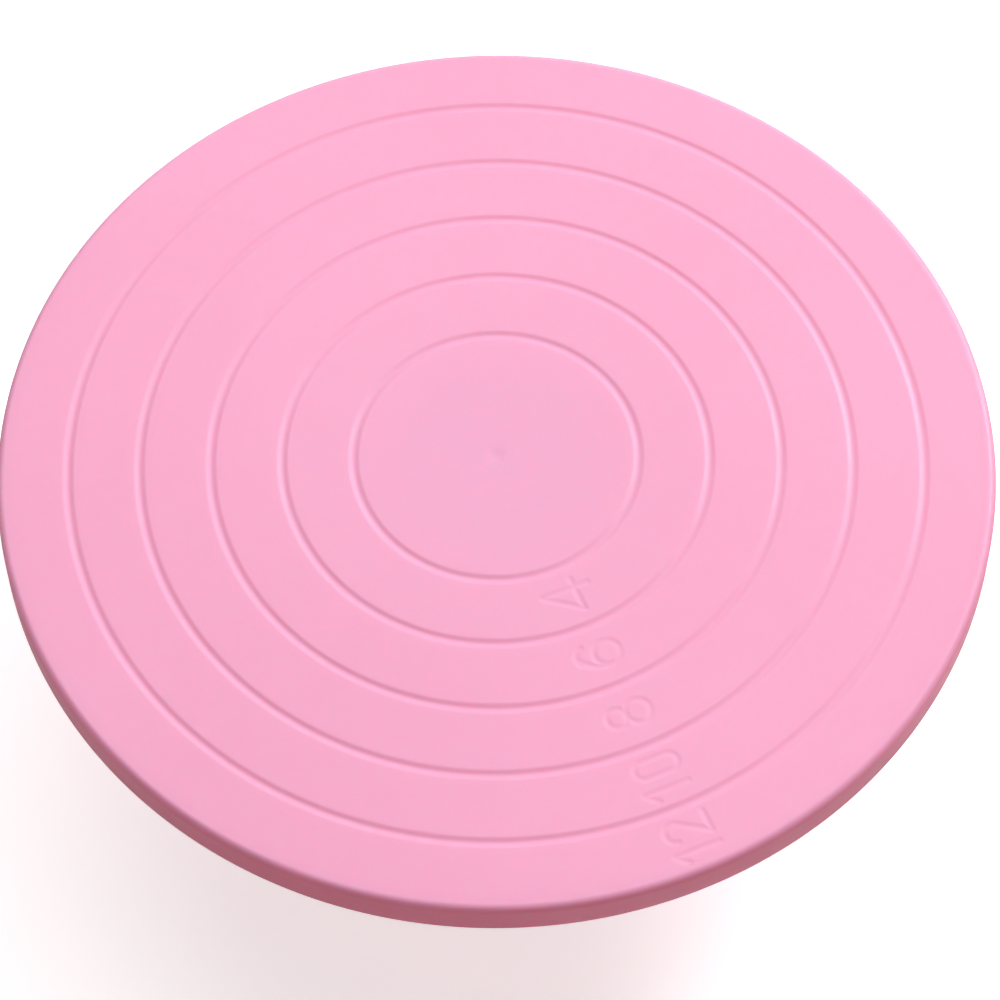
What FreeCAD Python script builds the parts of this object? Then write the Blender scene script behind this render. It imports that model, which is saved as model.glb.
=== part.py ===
import FreeCAD, Part

import math
import os
import re

import Sketcher

# Small plastic cake turntable.  Millimetres, +Z up, origin on the table under the spindle.

SIZES = {
    # turntable plate
    "overall_height": 50.0,
    "plate_radius": 70.0,
    "plate_skin": 2.4,
    "rim_height": 5.8,
    "rim_wall": 2.0,
    "rim_top_round": 1.6,
    "rim_foot_round": 0.5,
    "first_ring_radius": 20.0,
    "ring_step": 10.0,
    "ring_tool_radius": 0.75,
    "ring_depth": 0.35,
    "numeral_stroke": 0.75,
    "numeral_depth": 0.28,
    "numeral_azimuth": -67.0,
    "gate_dimple_radius": 1.6,
    "gate_dimple_depth": 0.15,
    "stiffener_thickness": 1.2,
    "stiffener_height": 2.0,
    "stiffener_ring_radius": 50.0,
    "stiffener_count": 12.0,
    # dust collar and hub under the plate
    "collar_inner_radius": 27.6,
    "collar_wall": 1.8,
    "collar_drop": 8.6,
    "hub_radius": 9.5,
    "hub_level": 44.2,
    "spindle_radius": 6.0,
    "spindle_end_level": 32.7,
    "screw_hole_top": 45.2,
    # thrust bearing
    "ball_radius": 2.0,
    "ball_count": 12.0,
    "ball_circle_radius": 20.0,
    "ball_level": 43.7,
    "ball_track_radius": 2.04,
    "ball_pocket_radius": 2.1,
    "race_inner_radius": 16.0,
    "race_outer_radius": 24.0,
    "race_thickness": 1.6,
    "race_gap": 2.2,
    "race_seat_wall": 1.6,
    "cage_inner_radius": 16.6,
    "cage_outer_radius": 23.4,
    "cage_thickness": 1.6,
    # spindle bush and the screw that holds the plate on
    "bush_bore_radius": 6.06,
    "bush_outer_radius": 8.0,
    "bush_end_level": 33.0,
    "bush_flange_radius": 11.0,
    "bush_flange_thickness": 1.2,
    "keeper_radius": 9.4,
    "keeper_bore_radius": 2.15,
    "keeper_thickness": 1.2,
    "spring_washer_radius": 3.6,
    "spring_washer_bore_radius": 2.1,
    "spring_washer_thickness": 0.9,
    "spring_washer_slit": 0.8,
    "screw_radius": 2.0,
    "screw_head_radius": 4.0,
    "screw_head_height": 2.6,
    "screw_head_round": 1.2,
    "screw_end_level": 44.6,
    "screw_end_chamfer": 0.5,
    "recess_length": 4.4,
    "recess_width": 1.1,
    "recess_depth": 1.5,
    # pedestal
    "base_radius": 46.0,
    "base_bottom": 1.5,
    "base_wall": 2.0,
    "base_foot_round": 0.4,
    "skirt_round": 3.0,
    "flare_radius": 28.0,
    "flare_level": 35.0,
    "neck_radius": 26.4,
    "neck_round": 0.5,
    "deck_thickness": 3.2,
    "sleeve_outer_radius": 10.2,
    "web_thickness": 1.6,
    "web_foot_radius": 31.0,
    "web_outer_radius": 43.0,
    "web_foot_level": 6.5,
    "web_sleeve_setback": 1.0,
    "web_count": 4.0,
    # rubber feet
    "foot_circle_radius": 36.8,
    "foot_azimuth": 45.0,
    "foot_radius": 6.0,
    "foot_edge_round": 0.8,
    "foot_pocket_depth": 1.2,
    "foot_stem_radius": 2.0,
    "foot_stem_length": 3.8,
    "foot_stem_hole_depth": 4.0,
    "foot_boss_radius": 8.2,
    "foot_boss_top": 7.6,
    # how far a cutting tool starts outside the face it cuts
    "over_cut": 1.0,
}

RING_COUNT = 5
BALL_TOTAL = int(SIZES["ball_count"])
FOOT_TOTAL = int(SIZES["web_count"])

# Levels and radii worked out from the sizes, as expressions.
RIM_BOTTOM = "(overall_height - rim_height)"
PLATE_UNDERSIDE = "(overall_height - plate_skin)"
UPPER_RACE_FACE = "(ball_level + race_gap / 2)"
UPPER_RACE_BACK = "(ball_level + race_gap / 2 + race_thickness)"
LOWER_RACE_FACE = "(ball_level - race_gap / 2)"
LOWER_RACE_BACK = "(ball_level - race_gap / 2 - race_thickness)"
TRACK_HALF_WIDTH = "sqrt(ball_track_radius ^ 2 - (race_gap / 2) ^ 2)"
DECK_UNDERSIDE = "(ball_level - race_gap / 2 - deck_thickness)"
KEEPER_BOTTOM = "(spindle_end_level - keeper_thickness)"
SPRING_BOTTOM = "(spindle_end_level - keeper_thickness - spring_washer_thickness)"
HEAD_BOTTOM = f"({SPRING_BOTTOM} - screw_head_height)"
FLARE_AXIS = "(neck_radius + flare_radius)"
SKIRT_AXIS = "(base_radius - skirt_round)"
SKIRT_REACH = "(flare_radius + skirt_round)"
SKIRT_LEVEL = f"(flare_level - sqrt({SKIRT_REACH} ^ 2 - ({FLARE_AXIS} - {SKIRT_AXIS}) ^ 2))"
FOOT_SEAT = "(base_bottom + foot_pocket_depth)"

doc = FreeCAD.newDocument("cake_turntable")
sheet = doc.addObject("Spreadsheet::Sheet", "Sizes")


def fill_sheet():
    """Write every size into the sheet under its own name."""
    for row, (name, value) in enumerate(SIZES.items(), start=1):
        sheet.set(f"A{row}", name)
        sheet.set(f"B{row}", str(value))
        sheet.setAlias(f"B{row}", name)
    doc.recompute()


def sized(expression):
    """Point the size names in an expression at the sheet."""
    return re.sub(
        r"[a-z_]+",
        lambda word: "Sizes." + word.group() if word.group() in SIZES else word.group(),
        expression,
    )


def bind(target, prop, expression):
    """Drive one property from the sheet."""
    target.setExpression(prop, sized(expression))


def value_of(expression):
    """Number an expression stands for now."""
    return float(sheet.evalExpression(sized(expression)))


def new_body(label):
    """Empty body carrying the sub-part's name."""
    body = doc.addObject("PartDesign::Body", label)
    body.Label = label
    return body


def origin_feature(body, role):
    """Plane or axis of a body's own origin."""
    return next(item for item in body.Origin.OriginFeatures if item.Role == role)


def new_sketch(body, name, plane="XZ_Plane"):
    """Sketch laid on one of the body's origin planes."""
    sketch = body.newObject("Sketcher::SketchObject", name)
    sketch.AttachmentSupport = [(origin_feature(body, plane), "")]
    sketch.MapMode = "FlatFace"
    return sketch


def pin_point(sketch, geometry, point, x, y):
    """Fix one sketch point at two expressions measured from the origin."""
    for kind, expression, axis in (("DistanceX", x, -2), ("DistanceY", y, -1)):
        if expression == "0":
            sketch.addConstraint(Sketcher.Constraint("PointOnObject", geometry, point, axis))
            continue
        index = sketch.addConstraint(
            Sketcher.Constraint(kind, -1, 1, geometry, point, value_of(expression))
        )
        bind(sketch, f"Constraints[{index}]", expression)


def arc_between(start, end, radius, turn):
    """Arc from start to end; turn is +1 anticlockwise and -1 clockwise."""
    chord = end - start
    height = math.sqrt(max(radius ** 2 - (chord.Length / 2) ** 2, 0.0))
    left = FreeCAD.Vector(-chord.y, chord.x, 0).normalize()
    centre = (start + end) / 2 + left * height * turn
    first, last = (start, end) if turn > 0 else (end, start)
    angles = [math.atan2(point.y - centre.y, point.x - centre.x) for point in (first, last)]
    if angles[1] < angles[0]:
        angles[1] += 2 * math.pi
    circle = Part.Circle(centre, FreeCAD.Vector(0, 0, 1), radius)
    return Part.ArcOfCircle(circle, angles[0], angles[1])


def draw_outline(sketch, corners, arcs=None):
    """Closed outline through the corners; arcs maps a segment number to (radius, turn)."""
    arcs = arcs or {}
    points = [FreeCAD.Vector(value_of(x), value_of(y), 0) for x, y in corners]
    ends = []
    for index, start in enumerate(points):
        end = points[(index + 1) % len(points)]
        if index in arcs:
            radius, turn = arcs[index]
            geometry = sketch.addGeometry(arc_between(start, end, value_of(radius), turn))
            ends.append((geometry, 1, 2) if turn > 0 else (geometry, 2, 1))
        else:
            geometry = sketch.addGeometry(Part.LineSegment(start, end))
            ends.append((geometry, 1, 2))
    for index, (geometry, first, last) in enumerate(ends):
        following, following_first, _ = ends[(index + 1) % len(ends)]
        sketch.addConstraint(
            Sketcher.Constraint("Coincident", geometry, last, following, following_first)
        )
        pin_point(sketch, geometry, first, *corners[index])
        if index in arcs:
            radius = arcs[index][0]
            number = sketch.addConstraint(Sketcher.Constraint("Radius", geometry, value_of(radius)))
            bind(sketch, f"Constraints[{number}]", radius)


def draw_circle(sketch, x, y, radius):
    """Circle with its centre and radius driven by expressions."""
    centre = FreeCAD.Vector(value_of(x), value_of(y), 0)
    circle = Part.Circle(centre, FreeCAD.Vector(0, 0, 1), value_of(radius))
    geometry = sketch.addGeometry(circle)
    pin_point(sketch, geometry, 3, x, y)
    number = sketch.addConstraint(Sketcher.Constraint("Radius", geometry, value_of(radius)))
    bind(sketch, f"Constraints[{number}]", radius)


def turn_profile(body, name, corners, arcs=None):
    """Solid turned about the vertical axis from a closed outline."""
    sketch = new_sketch(body, f"{name}_outline")
    draw_outline(sketch, corners, arcs)
    turned = body.newObject("PartDesign::Revolution", name)
    turned.Profile = sketch
    turned.ReferenceAxis = (sketch, ["V_Axis"])
    turned.Angle = 360
    return turned


def repeat_round(body, name, features, count):
    """Features repeated evenly round the vertical axis."""
    pattern = body.newObject("PartDesign::PolarPattern", name)
    pattern.Originals = features
    pattern.Axis = (origin_feature(body, "Z_Axis"), [""])
    pattern.Angle = 360
    bind(pattern, "Occurrences", count)
    body.Tip = pattern
    return pattern


def sink_cylinder(body, name, x, y, bottom, radius, height):
    """Upright round hole sunk in a body."""
    hole = body.newObject("PartDesign::SubtractiveCylinder", name)
    bind(hole, "Radius", radius)
    bind(hole, "Height", height)
    bind(hole, "Placement.Base.x", x)
    bind(hole, "Placement.Base.y", y)
    bind(hole, "Placement.Base.z", bottom)
    return hole


def line(x0, y0, x1, y1):
    """Outline of a straight pen stroke with round ends."""
    start = FreeCAD.Vector(x0, y0, 0)
    end = FreeCAD.Vector(x1, y1, 0)
    half_width = value_of("numeral_stroke / 2")
    along = (end - start).normalize()
    side = FreeCAD.Vector(-along.y, along.x, 0) * half_width
    tip = along * half_width
    return Part.Wire([
        Part.LineSegment(start + side, end + side).toShape(),
        Part.Arc(end + side, end + tip, end - side).toShape(),
        Part.LineSegment(end - side, start - side).toShape(),
        Part.Arc(start - side, start - tip, start + side).toShape(),
    ])


def arc(x, y, radius, first, last):
    """Outline of a curved pen stroke, anticlockwise from first to last degrees."""
    circle = Part.Circle(FreeCAD.Vector(x, y, 0), FreeCAD.Vector(0, 0, 1), radius)
    middle = Part.ArcOfCircle(circle, math.radians(first), math.radians(last)).toShape()
    return Part.Wire([middle]).makeOffset2D(value_of("numeral_stroke / 2"), 0, False, False, True)


def loop(x, y, radius):
    """Closed ring written as two half turns."""
    return [arc(x, y, radius, 0, 180), arc(x, y, radius, 180, 360)]


def figure_one(x):
    """Figure 1 with its flag, stem at x."""
    return [line(x, 3.1, x, -3.3), line(x, 3.1, x - 1.45, 1.6)]


def figure_four():
    """Open-topped slanted 4."""
    return [
        line(1.35, 3.4, 1.35, -3.35),
        line(1.35, 3.4, -2.35, -1.35),
        line(-2.35, -1.35, 2.65, -1.35),
    ]


def figure_six():
    """6 with a closed bowl and a hooked top."""
    return loop(0.2, -1.3, 1.85) + [
        arc(2.7, -0.95, 4.36, 115, 180),
        arc(0.65, 1.45, 1.55, 15, 126),
    ]


def figure_eight():
    """8 as a small ring over a larger one."""
    return loop(0.35, 1.65, 1.4) + loop(0.35, -1.45, 1.75)


def figure_ten():
    """Figures 1 and 0 side by side."""
    zero = [
        arc(1.75, 1.6, 1.3, 0, 180),
        arc(1.75, -2.0, 1.3, 180, 360),
        line(0.45, 1.6, 0.45, -2.0),
        line(3.05, 1.6, 3.05, -2.0),
    ]
    return figure_one(-1.85) + zero


def figure_twelve():
    """Figures 1 and 2 side by side."""
    two = [
        arc(1.65, 1.65, 1.4, -35, 175),
        line(2.797, 0.847, 0.2, -3.1),
        line(0.2, -3.1, 3.2, -3.1),
    ]
    return figure_one(-1.65) + two


def numeral_cutter():
    """Shallow tool that engraves the diameter numerals between the rings."""
    top = value_of("overall_height")
    depth = value_of("numeral_depth")
    reach = FreeCAD.Vector(0, 0, depth + value_of("over_cut"))
    azimuth = value_of("numeral_azimuth")
    figures = (figure_four(), figure_six(), figure_eight(), figure_ten(), figure_twelve())
    cutters = []
    for index, outlines in enumerate(figures):
        solids = [Part.Face(outline).extrude(reach) for outline in outlines]
        cutter = solids[0].multiFuse(solids[1:])
        radius = value_of(f"first_ring_radius + ring_step * {index + 0.5}")
        place = FreeCAD.Vector(
            radius * math.cos(math.radians(azimuth)),
            radius * math.sin(math.radians(azimuth)),
            top - depth,
        )
        turn = FreeCAD.Rotation(FreeCAD.Vector(0, 0, 1), azimuth + 180)
        cutter.Placement = FreeCAD.Placement(place, turn)
        cutters.append(cutter)
    return Part.makeCompound(cutters)


def build_turntable_plate():
    """Top plate: marked disc, turned-down rim, collar, race seat, hub and spindle boss."""
    body = new_body("plate_moulding")
    collar_bottom = "(overall_height - collar_drop)"
    rib_bottom = f"({PLATE_UNDERSIDE} - stiffener_height)"
    rib_outer = "(stiffener_ring_radius + stiffener_thickness / 2)"
    rib_inner = "(stiffener_ring_radius - stiffener_thickness / 2)"
    seat_inner = "(race_inner_radius - race_seat_wall)"
    seat_outer = "(race_outer_radius + race_seat_wall)"
    corners = [
        ("0", "overall_height"),
        ("0", "screw_hole_top"),
        ("screw_radius", "screw_hole_top"),
        ("screw_radius", "spindle_end_level"),
        ("spindle_radius", "spindle_end_level"),
        ("spindle_radius", "hub_level"),
        ("hub_radius", "hub_level"),
        ("hub_radius", PLATE_UNDERSIDE),
        (seat_inner, PLATE_UNDERSIDE),
        (seat_inner, UPPER_RACE_FACE),
        ("race_inner_radius", UPPER_RACE_FACE),
        ("race_inner_radius", UPPER_RACE_BACK),
        ("race_outer_radius", UPPER_RACE_BACK),
        ("race_outer_radius", UPPER_RACE_FACE),
        (seat_outer, UPPER_RACE_FACE),
        (seat_outer, PLATE_UNDERSIDE),
        ("collar_inner_radius", PLATE_UNDERSIDE),
        ("collar_inner_radius", collar_bottom),
        ("collar_inner_radius + collar_wall", collar_bottom),
        ("collar_inner_radius + collar_wall", PLATE_UNDERSIDE),
        (rib_inner, PLATE_UNDERSIDE),
        (rib_inner, rib_bottom),
        (rib_outer, rib_bottom),
        (rib_outer, PLATE_UNDERSIDE),
        ("plate_radius - rim_wall", PLATE_UNDERSIDE),
        ("plate_radius - rim_wall", RIM_BOTTOM),
        ("plate_radius - rim_foot_round", RIM_BOTTOM),
        ("plate_radius", f"{RIM_BOTTOM} + rim_foot_round"),
        ("plate_radius", "overall_height - rim_top_round"),
        ("plate_radius - rim_top_round", "overall_height"),
    ]
    arcs = {26: ("rim_foot_round", 1), 28: ("rim_top_round", 1)}
    turn_profile(body, "disc", corners, arcs)

    rib_sketch = new_sketch(body, "stiffener_outline")
    draw_outline(rib_sketch, [
        ("collar_inner_radius + collar_wall / 2", rib_bottom),
        ("plate_radius - rim_wall / 2", rib_bottom),
        ("plate_radius - rim_wall / 2", f"{PLATE_UNDERSIDE} + plate_skin / 2"),
        ("collar_inner_radius + collar_wall / 2", f"{PLATE_UNDERSIDE} + plate_skin / 2"),
    ])
    rib = body.newObject("PartDesign::Pad", "stiffener")
    rib.Profile = rib_sketch
    rib.SideType = "Symmetric"
    bind(rib, "Length", "stiffener_thickness")
    repeat_round(body, "stiffeners", [rib], "stiffener_count")

    ring_sketch = new_sketch(body, "ring_marks_outline")
    for index in range(RING_COUNT):
        draw_circle(
            ring_sketch,
            f"first_ring_radius + ring_step * {index}",
            "overall_height + ring_tool_radius - ring_depth",
            "ring_tool_radius",
        )
    rings = body.newObject("PartDesign::Groove", "ring_marks")
    rings.Profile = ring_sketch
    rings.ReferenceAxis = (ring_sketch, ["V_Axis"])
    rings.Angle = 360

    sink_cylinder(
        body, "gate_dimple", "0", "0", "overall_height - gate_dimple_depth",
        "gate_dimple_radius", "gate_dimple_depth + over_cut",
    )

    numerals = doc.addObject("Part::Feature", "numeral_strokes")
    numerals.Shape = numeral_cutter()
    plate = doc.addObject("Part::Cut", "turntable_plate")
    plate.Base = body
    plate.Tool = numerals
    plate.Label = "turntable_plate"
    return plate


def build_race(label, face, back, turn):
    """Flat steel ring with a rolled ball track in its face."""
    body = new_body(label)
    corners = [
        ("race_inner_radius", back),
        ("race_inner_radius", face),
        (f"ball_circle_radius - {TRACK_HALF_WIDTH}", face),
        (f"ball_circle_radius + {TRACK_HALF_WIDTH}", face),
        ("race_outer_radius", face),
        ("race_outer_radius", back),
    ]
    turn_profile(body, f"{label}_ring", corners, {2: ("ball_track_radius", turn)})
    return body


def build_ball_cage():
    """Flat plastic ring that spaces the balls, with snap-in pockets."""
    body = new_body("ball_cage")
    bottom = "(ball_level - cage_thickness / 2)"
    top = "(ball_level + cage_thickness / 2)"
    turn_profile(body, "cage_ring", [
        ("cage_inner_radius", bottom),
        ("cage_outer_radius", bottom),
        ("cage_outer_radius", top),
        ("cage_inner_radius", top),
    ])
    pocket = body.newObject("PartDesign::SubtractiveSphere", "ball_pocket")
    bind(pocket, "Radius", "ball_pocket_radius")
    bind(pocket, "Placement.Base.x", "ball_circle_radius")
    bind(pocket, "Placement.Base.z", "ball_level")
    repeat_round(body, "ball_pockets", [pocket], "ball_count")
    return body


def build_ball(number):
    """One bearing ball at its place on the ball circle."""
    ball = doc.addObject("Part::Sphere", f"ball_{number:02d}")
    ball.Label = f"ball_{number:02d}"
    bind(ball, "Radius", "ball_radius")
    bind(ball, "Placement.Base.x", f"ball_circle_radius * cos({number - 1} * 360 / ball_count)")
    bind(ball, "Placement.Base.y", f"ball_circle_radius * sin({number - 1} * 360 / ball_count)")
    bind(ball, "Placement.Base.z", "ball_level")
    return ball


def build_spindle_bush():
    """Flanged plain bush pressed into the pedestal sleeve."""
    body = new_body("spindle_bush")
    flange_top = f"({LOWER_RACE_FACE} + bush_flange_thickness)"
    turn_profile(body, "bush", [
        ("bush_bore_radius", "bush_end_level"),
        ("bush_outer_radius", "bush_end_level"),
        ("bush_outer_radius", LOWER_RACE_FACE),
        ("bush_flange_radius", LOWER_RACE_FACE),
        ("bush_flange_radius", flange_top),
        ("bush_bore_radius", flange_top),
    ])
    return body


def build_retaining_washer():
    """Large washer that keeps the spindle boss from lifting out of the bush."""
    body = new_body("retaining_washer")
    turn_profile(body, "keeper", [
        ("keeper_bore_radius", KEEPER_BOTTOM),
        ("keeper_radius", KEEPER_BOTTOM),
        ("keeper_radius", "spindle_end_level"),
        ("keeper_bore_radius", "spindle_end_level"),
    ])
    return body


def build_lock_washer():
    """Split spring washer under the screw head."""
    body = new_body("lock_washer")
    turn_profile(body, "spring_ring", [
        ("spring_washer_bore_radius", SPRING_BOTTOM),
        ("spring_washer_radius", SPRING_BOTTOM),
        ("spring_washer_radius", KEEPER_BOTTOM),
        ("spring_washer_bore_radius", KEEPER_BOTTOM),
    ])
    slit = body.newObject("PartDesign::SubtractiveBox", "spring_slit")
    bind(slit, "Length", "spring_washer_radius")
    bind(slit, "Width", "spring_washer_slit")
    bind(slit, "Height", "spring_washer_thickness * 2")
    bind(slit, "Placement.Base.x", "spring_washer_bore_radius / 2")
    bind(slit, "Placement.Base.y", "-spring_washer_slit / 2")
    bind(slit, "Placement.Base.z", f"{SPRING_BOTTOM} - spring_washer_thickness / 2")
    return body


def build_spindle_screw():
    """Pan-head screw driven up into the spindle boss, cross recess underneath."""
    body = new_body("spindle_screw")
    corners = [
        ("0", HEAD_BOTTOM),
        ("screw_head_radius - screw_head_round", HEAD_BOTTOM),
        ("screw_head_radius", f"{HEAD_BOTTOM} + screw_head_round"),
        ("screw_head_radius", SPRING_BOTTOM),
        ("screw_radius", SPRING_BOTTOM),
        ("screw_radius", "screw_end_level - screw_end_chamfer"),
        ("screw_radius - screw_end_chamfer", "screw_end_level"),
        ("0", "screw_end_level"),
    ]
    turn_profile(body, "screw", corners, {1: ("screw_head_round", 1)})
    for name, across, along in (
        ("recess_one", "recess_length", "recess_width"),
        ("recess_two", "recess_width", "recess_length"),
    ):
        slot = body.newObject("PartDesign::SubtractiveBox", name)
        bind(slot, "Length", across)
        bind(slot, "Width", along)
        bind(slot, "Height", "recess_depth * 2")
        bind(slot, "Placement.Base.x", f"-{across} / 2")
        bind(slot, "Placement.Base.y", f"-{along} / 2")
        bind(slot, "Placement.Base.z", f"{HEAD_BOTTOM} - recess_depth")
    return body


def build_pedestal_base():
    """Flared hollow pedestal with its deck, spindle sleeve, webs and foot bosses."""
    body = new_body("pedestal_base")
    reach = f"(({FLARE_AXIS} - {SKIRT_AXIS}) / {SKIRT_REACH})"
    fall = f"((flare_level - {SKIRT_LEVEL}) / {SKIRT_REACH})"
    corners = [
        ("bush_outer_radius", LOWER_RACE_FACE),
        ("bush_outer_radius", "bush_end_level"),
        ("sleeve_outer_radius", "bush_end_level"),
        ("sleeve_outer_radius", DECK_UNDERSIDE),
        ("neck_radius - base_wall", DECK_UNDERSIDE),
        ("neck_radius - base_wall", "flare_level"),
        (f"{FLARE_AXIS} - (flare_radius + base_wall) * {reach}",
         f"flare_level - (flare_radius + base_wall) * {fall}"),
        ("base_radius - base_wall", SKIRT_LEVEL),
        ("base_radius - base_wall", "base_bottom"),
        ("base_radius - base_foot_round", "base_bottom"),
        ("base_radius", "base_bottom + base_foot_round"),
        ("base_radius", SKIRT_LEVEL),
        (f"{FLARE_AXIS} - flare_radius * {reach}", f"flare_level - flare_radius * {fall}"),
        ("neck_radius", "flare_level"),
        ("neck_radius", f"{LOWER_RACE_FACE} - neck_round"),
        ("neck_radius - neck_round", LOWER_RACE_FACE),
        ("race_outer_radius", LOWER_RACE_FACE),
        ("race_outer_radius", LOWER_RACE_BACK),
        ("race_inner_radius", LOWER_RACE_BACK),
        ("race_inner_radius", LOWER_RACE_FACE),
    ]
    arcs = {
        5: ("flare_radius + base_wall", 1),
        6: ("skirt_round - base_wall", -1),
        9: ("base_foot_round", 1),
        11: ("skirt_round", 1),
        12: ("flare_radius", -1),
        14: ("neck_round", 1),
    }
    turn_profile(body, "shell", corners, arcs)

    middle = "(flare_radius + base_wall / 2)"
    web_sketch = new_sketch(body, "web_outline")
    web_corners = [
        ("(bush_outer_radius + sleeve_outer_radius) / 2", "bush_end_level + web_sleeve_setback"),
        ("web_foot_radius", "web_foot_level"),
        ("web_outer_radius", "web_foot_level"),
        ("web_outer_radius",
         f"flare_level - sqrt({middle} ^ 2 - ({FLARE_AXIS} - web_outer_radius) ^ 2)"),
        ("neck_radius - base_wall / 2", "flare_level"),
        ("neck_radius - base_wall / 2", f"{DECK_UNDERSIDE} + base_wall / 2"),
        ("(bush_outer_radius + sleeve_outer_radius) / 2", f"{DECK_UNDERSIDE} + base_wall / 2"),
    ]
    draw_outline(web_sketch, web_corners, {3: (middle, -1)})
    web = body.newObject("PartDesign::Pad", "web")
    web.Profile = web_sketch
    web.SideType = "Symmetric"
    bind(web, "Length", "web_thickness")
    repeat_round(body, "webs", [web], "web_count")

    boss = body.newObject("PartDesign::AdditiveCylinder", "foot_boss")
    bind(boss, "Radius", "foot_boss_radius")
    bind(boss, "Height", "foot_boss_top - base_bottom")
    bind(boss, "Placement.Base.x", "foot_circle_radius")
    bind(boss, "Placement.Base.z", "base_bottom")

    pocket = sink_cylinder(
        body, "foot_pocket", "foot_circle_radius", "0", "base_bottom - over_cut",
        "foot_radius", "foot_pocket_depth + over_cut",
    )
    stem_hole = sink_cylinder(
        body, "foot_stem_hole", "foot_circle_radius", "0", "base_bottom",
        "foot_stem_radius", "foot_pocket_depth + foot_stem_hole_depth",
    )
    repeat_round(body, "foot_seats", [boss, pocket, stem_hole], "web_count")
    return body


def build_rubber_foot(number):
    """One push-in rubber foot, moved out to its boss."""
    body = new_body(f"rubber_foot_{number}")
    corners = [
        ("0", "0"),
        ("foot_radius - foot_edge_round", "0"),
        ("foot_radius", "foot_edge_round"),
        ("foot_radius", FOOT_SEAT),
        ("foot_stem_radius", FOOT_SEAT),
        ("foot_stem_radius", f"{FOOT_SEAT} + foot_stem_length"),
        ("0", f"{FOOT_SEAT} + foot_stem_length"),
    ]
    turn_profile(body, f"pad_{number}", corners, {1: ("foot_edge_round", 1)})
    angle = f"foot_azimuth + {number - 1} * 360 / web_count"
    bind(body, "Placement.Base.x", f"foot_circle_radius * cos({angle})")
    bind(body, "Placement.Base.y", f"foot_circle_radius * sin({angle})")
    return body


def build_parts():
    """All sub-parts, in the order they stack up from the table."""
    pedestal = build_pedestal_base()
    bind(pedestal, "Placement.Rotation.Angle", "foot_azimuth")
    parts = [pedestal]
    parts += [build_rubber_foot(number) for number in range(1, FOOT_TOTAL + 1)]
    parts.append(build_spindle_bush())
    parts.append(build_race("lower_race", LOWER_RACE_FACE, LOWER_RACE_BACK, 1))
    parts.append(build_ball_cage())
    parts += [build_ball(number) for number in range(1, BALL_TOTAL + 1)]
    parts.append(build_race("upper_race", UPPER_RACE_FACE, UPPER_RACE_BACK, -1))
    parts.append(build_turntable_plate())
    parts.append(build_retaining_washer())
    parts.append(build_lock_washer())
    parts.append(build_spindle_screw())
    return parts


def check_and_write(parts):
    """Stop on any failed feature, then write one file per sub-part."""
    for item in doc.Objects:
        if "Invalid" in item.State or "Error" in item.State:
            raise RuntimeError(f"{item.Name} did not compute: {item.State}")
    os.makedirs("parts", exist_ok=True)
    for part in parts:
        if part.Shape.isNull() or not part.Shape.isValid():
            raise RuntimeError(f"{part.Label} has no valid shape")
        if len(part.Shape.Solids) != 1:
            raise RuntimeError(f"{part.Label} is {len(part.Shape.Solids)} solids, not one")
        part.Shape.exportStep(f"parts/{part.Label}.step")
        box = part.Shape.optimalBoundingBox(False, False)
        print(
            f"{part.Label:18s} {part.Shape.Volume:11.3f} mm3  "
            f"z {box.ZMin:7.3f} to {box.ZMax:7.3f}  x {box.XMin:7.3f} to {box.XMax:7.3f}"
        )


fill_sheet()
all_parts = build_parts()
doc.recompute()
check_and_write(all_parts)
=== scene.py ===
import math

import bmesh
import bpy
import numpy as np
from bpy.props import FloatProperty, FloatVectorProperty, IntProperty, PointerProperty
from mathutils import Matrix, Vector


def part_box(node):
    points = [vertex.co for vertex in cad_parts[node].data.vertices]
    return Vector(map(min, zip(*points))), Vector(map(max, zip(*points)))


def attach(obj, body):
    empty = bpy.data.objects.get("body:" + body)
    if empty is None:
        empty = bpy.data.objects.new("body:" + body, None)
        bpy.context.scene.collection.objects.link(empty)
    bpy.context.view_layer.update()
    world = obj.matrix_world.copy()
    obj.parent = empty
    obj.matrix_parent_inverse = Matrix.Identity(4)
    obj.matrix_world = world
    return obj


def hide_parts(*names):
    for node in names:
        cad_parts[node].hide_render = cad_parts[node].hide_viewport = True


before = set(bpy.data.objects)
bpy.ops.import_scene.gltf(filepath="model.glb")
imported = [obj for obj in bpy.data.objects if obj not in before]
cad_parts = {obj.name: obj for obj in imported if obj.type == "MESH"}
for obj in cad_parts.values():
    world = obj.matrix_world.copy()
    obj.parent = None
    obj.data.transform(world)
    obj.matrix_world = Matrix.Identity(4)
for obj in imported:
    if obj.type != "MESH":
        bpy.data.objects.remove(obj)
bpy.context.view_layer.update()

bl_info = {
    "name": "Cake Turntable",
    "version": (1, 0, 0),
    "blender": (4, 5, 0),
    "location": "View3D > Sidebar > Cake Turntable",
    "description": "Builds the plate, pedestal, bearing, fixings and feet of a small cake turntable",
    "category": "Add Mesh",
}

MM = 0.001
FULL_TURN = 2 * math.pi
ON_AXIS = 1e-7

WORN_PLASTIC = (0.95, 0.6, 0.72)
SPECK_TINT = (0.35, 0.12, 0.16)
BRIGHT_STEEL = (0.85, 0.85, 0.86)
WORN_NYLON = (0.88, 0.87, 0.82)
DUST_TINT = (0.6, 0.58, 0.55)
ROOM_TINT = (1.0, 0.99, 0.985)

LIGHTS = (
    ("main_softbox", (0.06, 0.52, 0.98), 1.45, (0.985, 0.985, 1.0)),
    ("window_panel", (1.0, 0.85, 1.0), 0.45, (1.0, 1.0, 1.0)),
    ("front_fill", (0.0, -1.25, 1.0), 1.0, (1.0, 0.62, 0.5)),
)
FLOOR_RINGS = (0.1, 0.3, 0.6, 1.0, 1.6)
FLOOR_LEVEL = -0.02 * MM
FLOOR_FADE = (0.45, 1.52)
FLOOR_LIFT = 0.58
FLOOR_GLOW = 0.05


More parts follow.
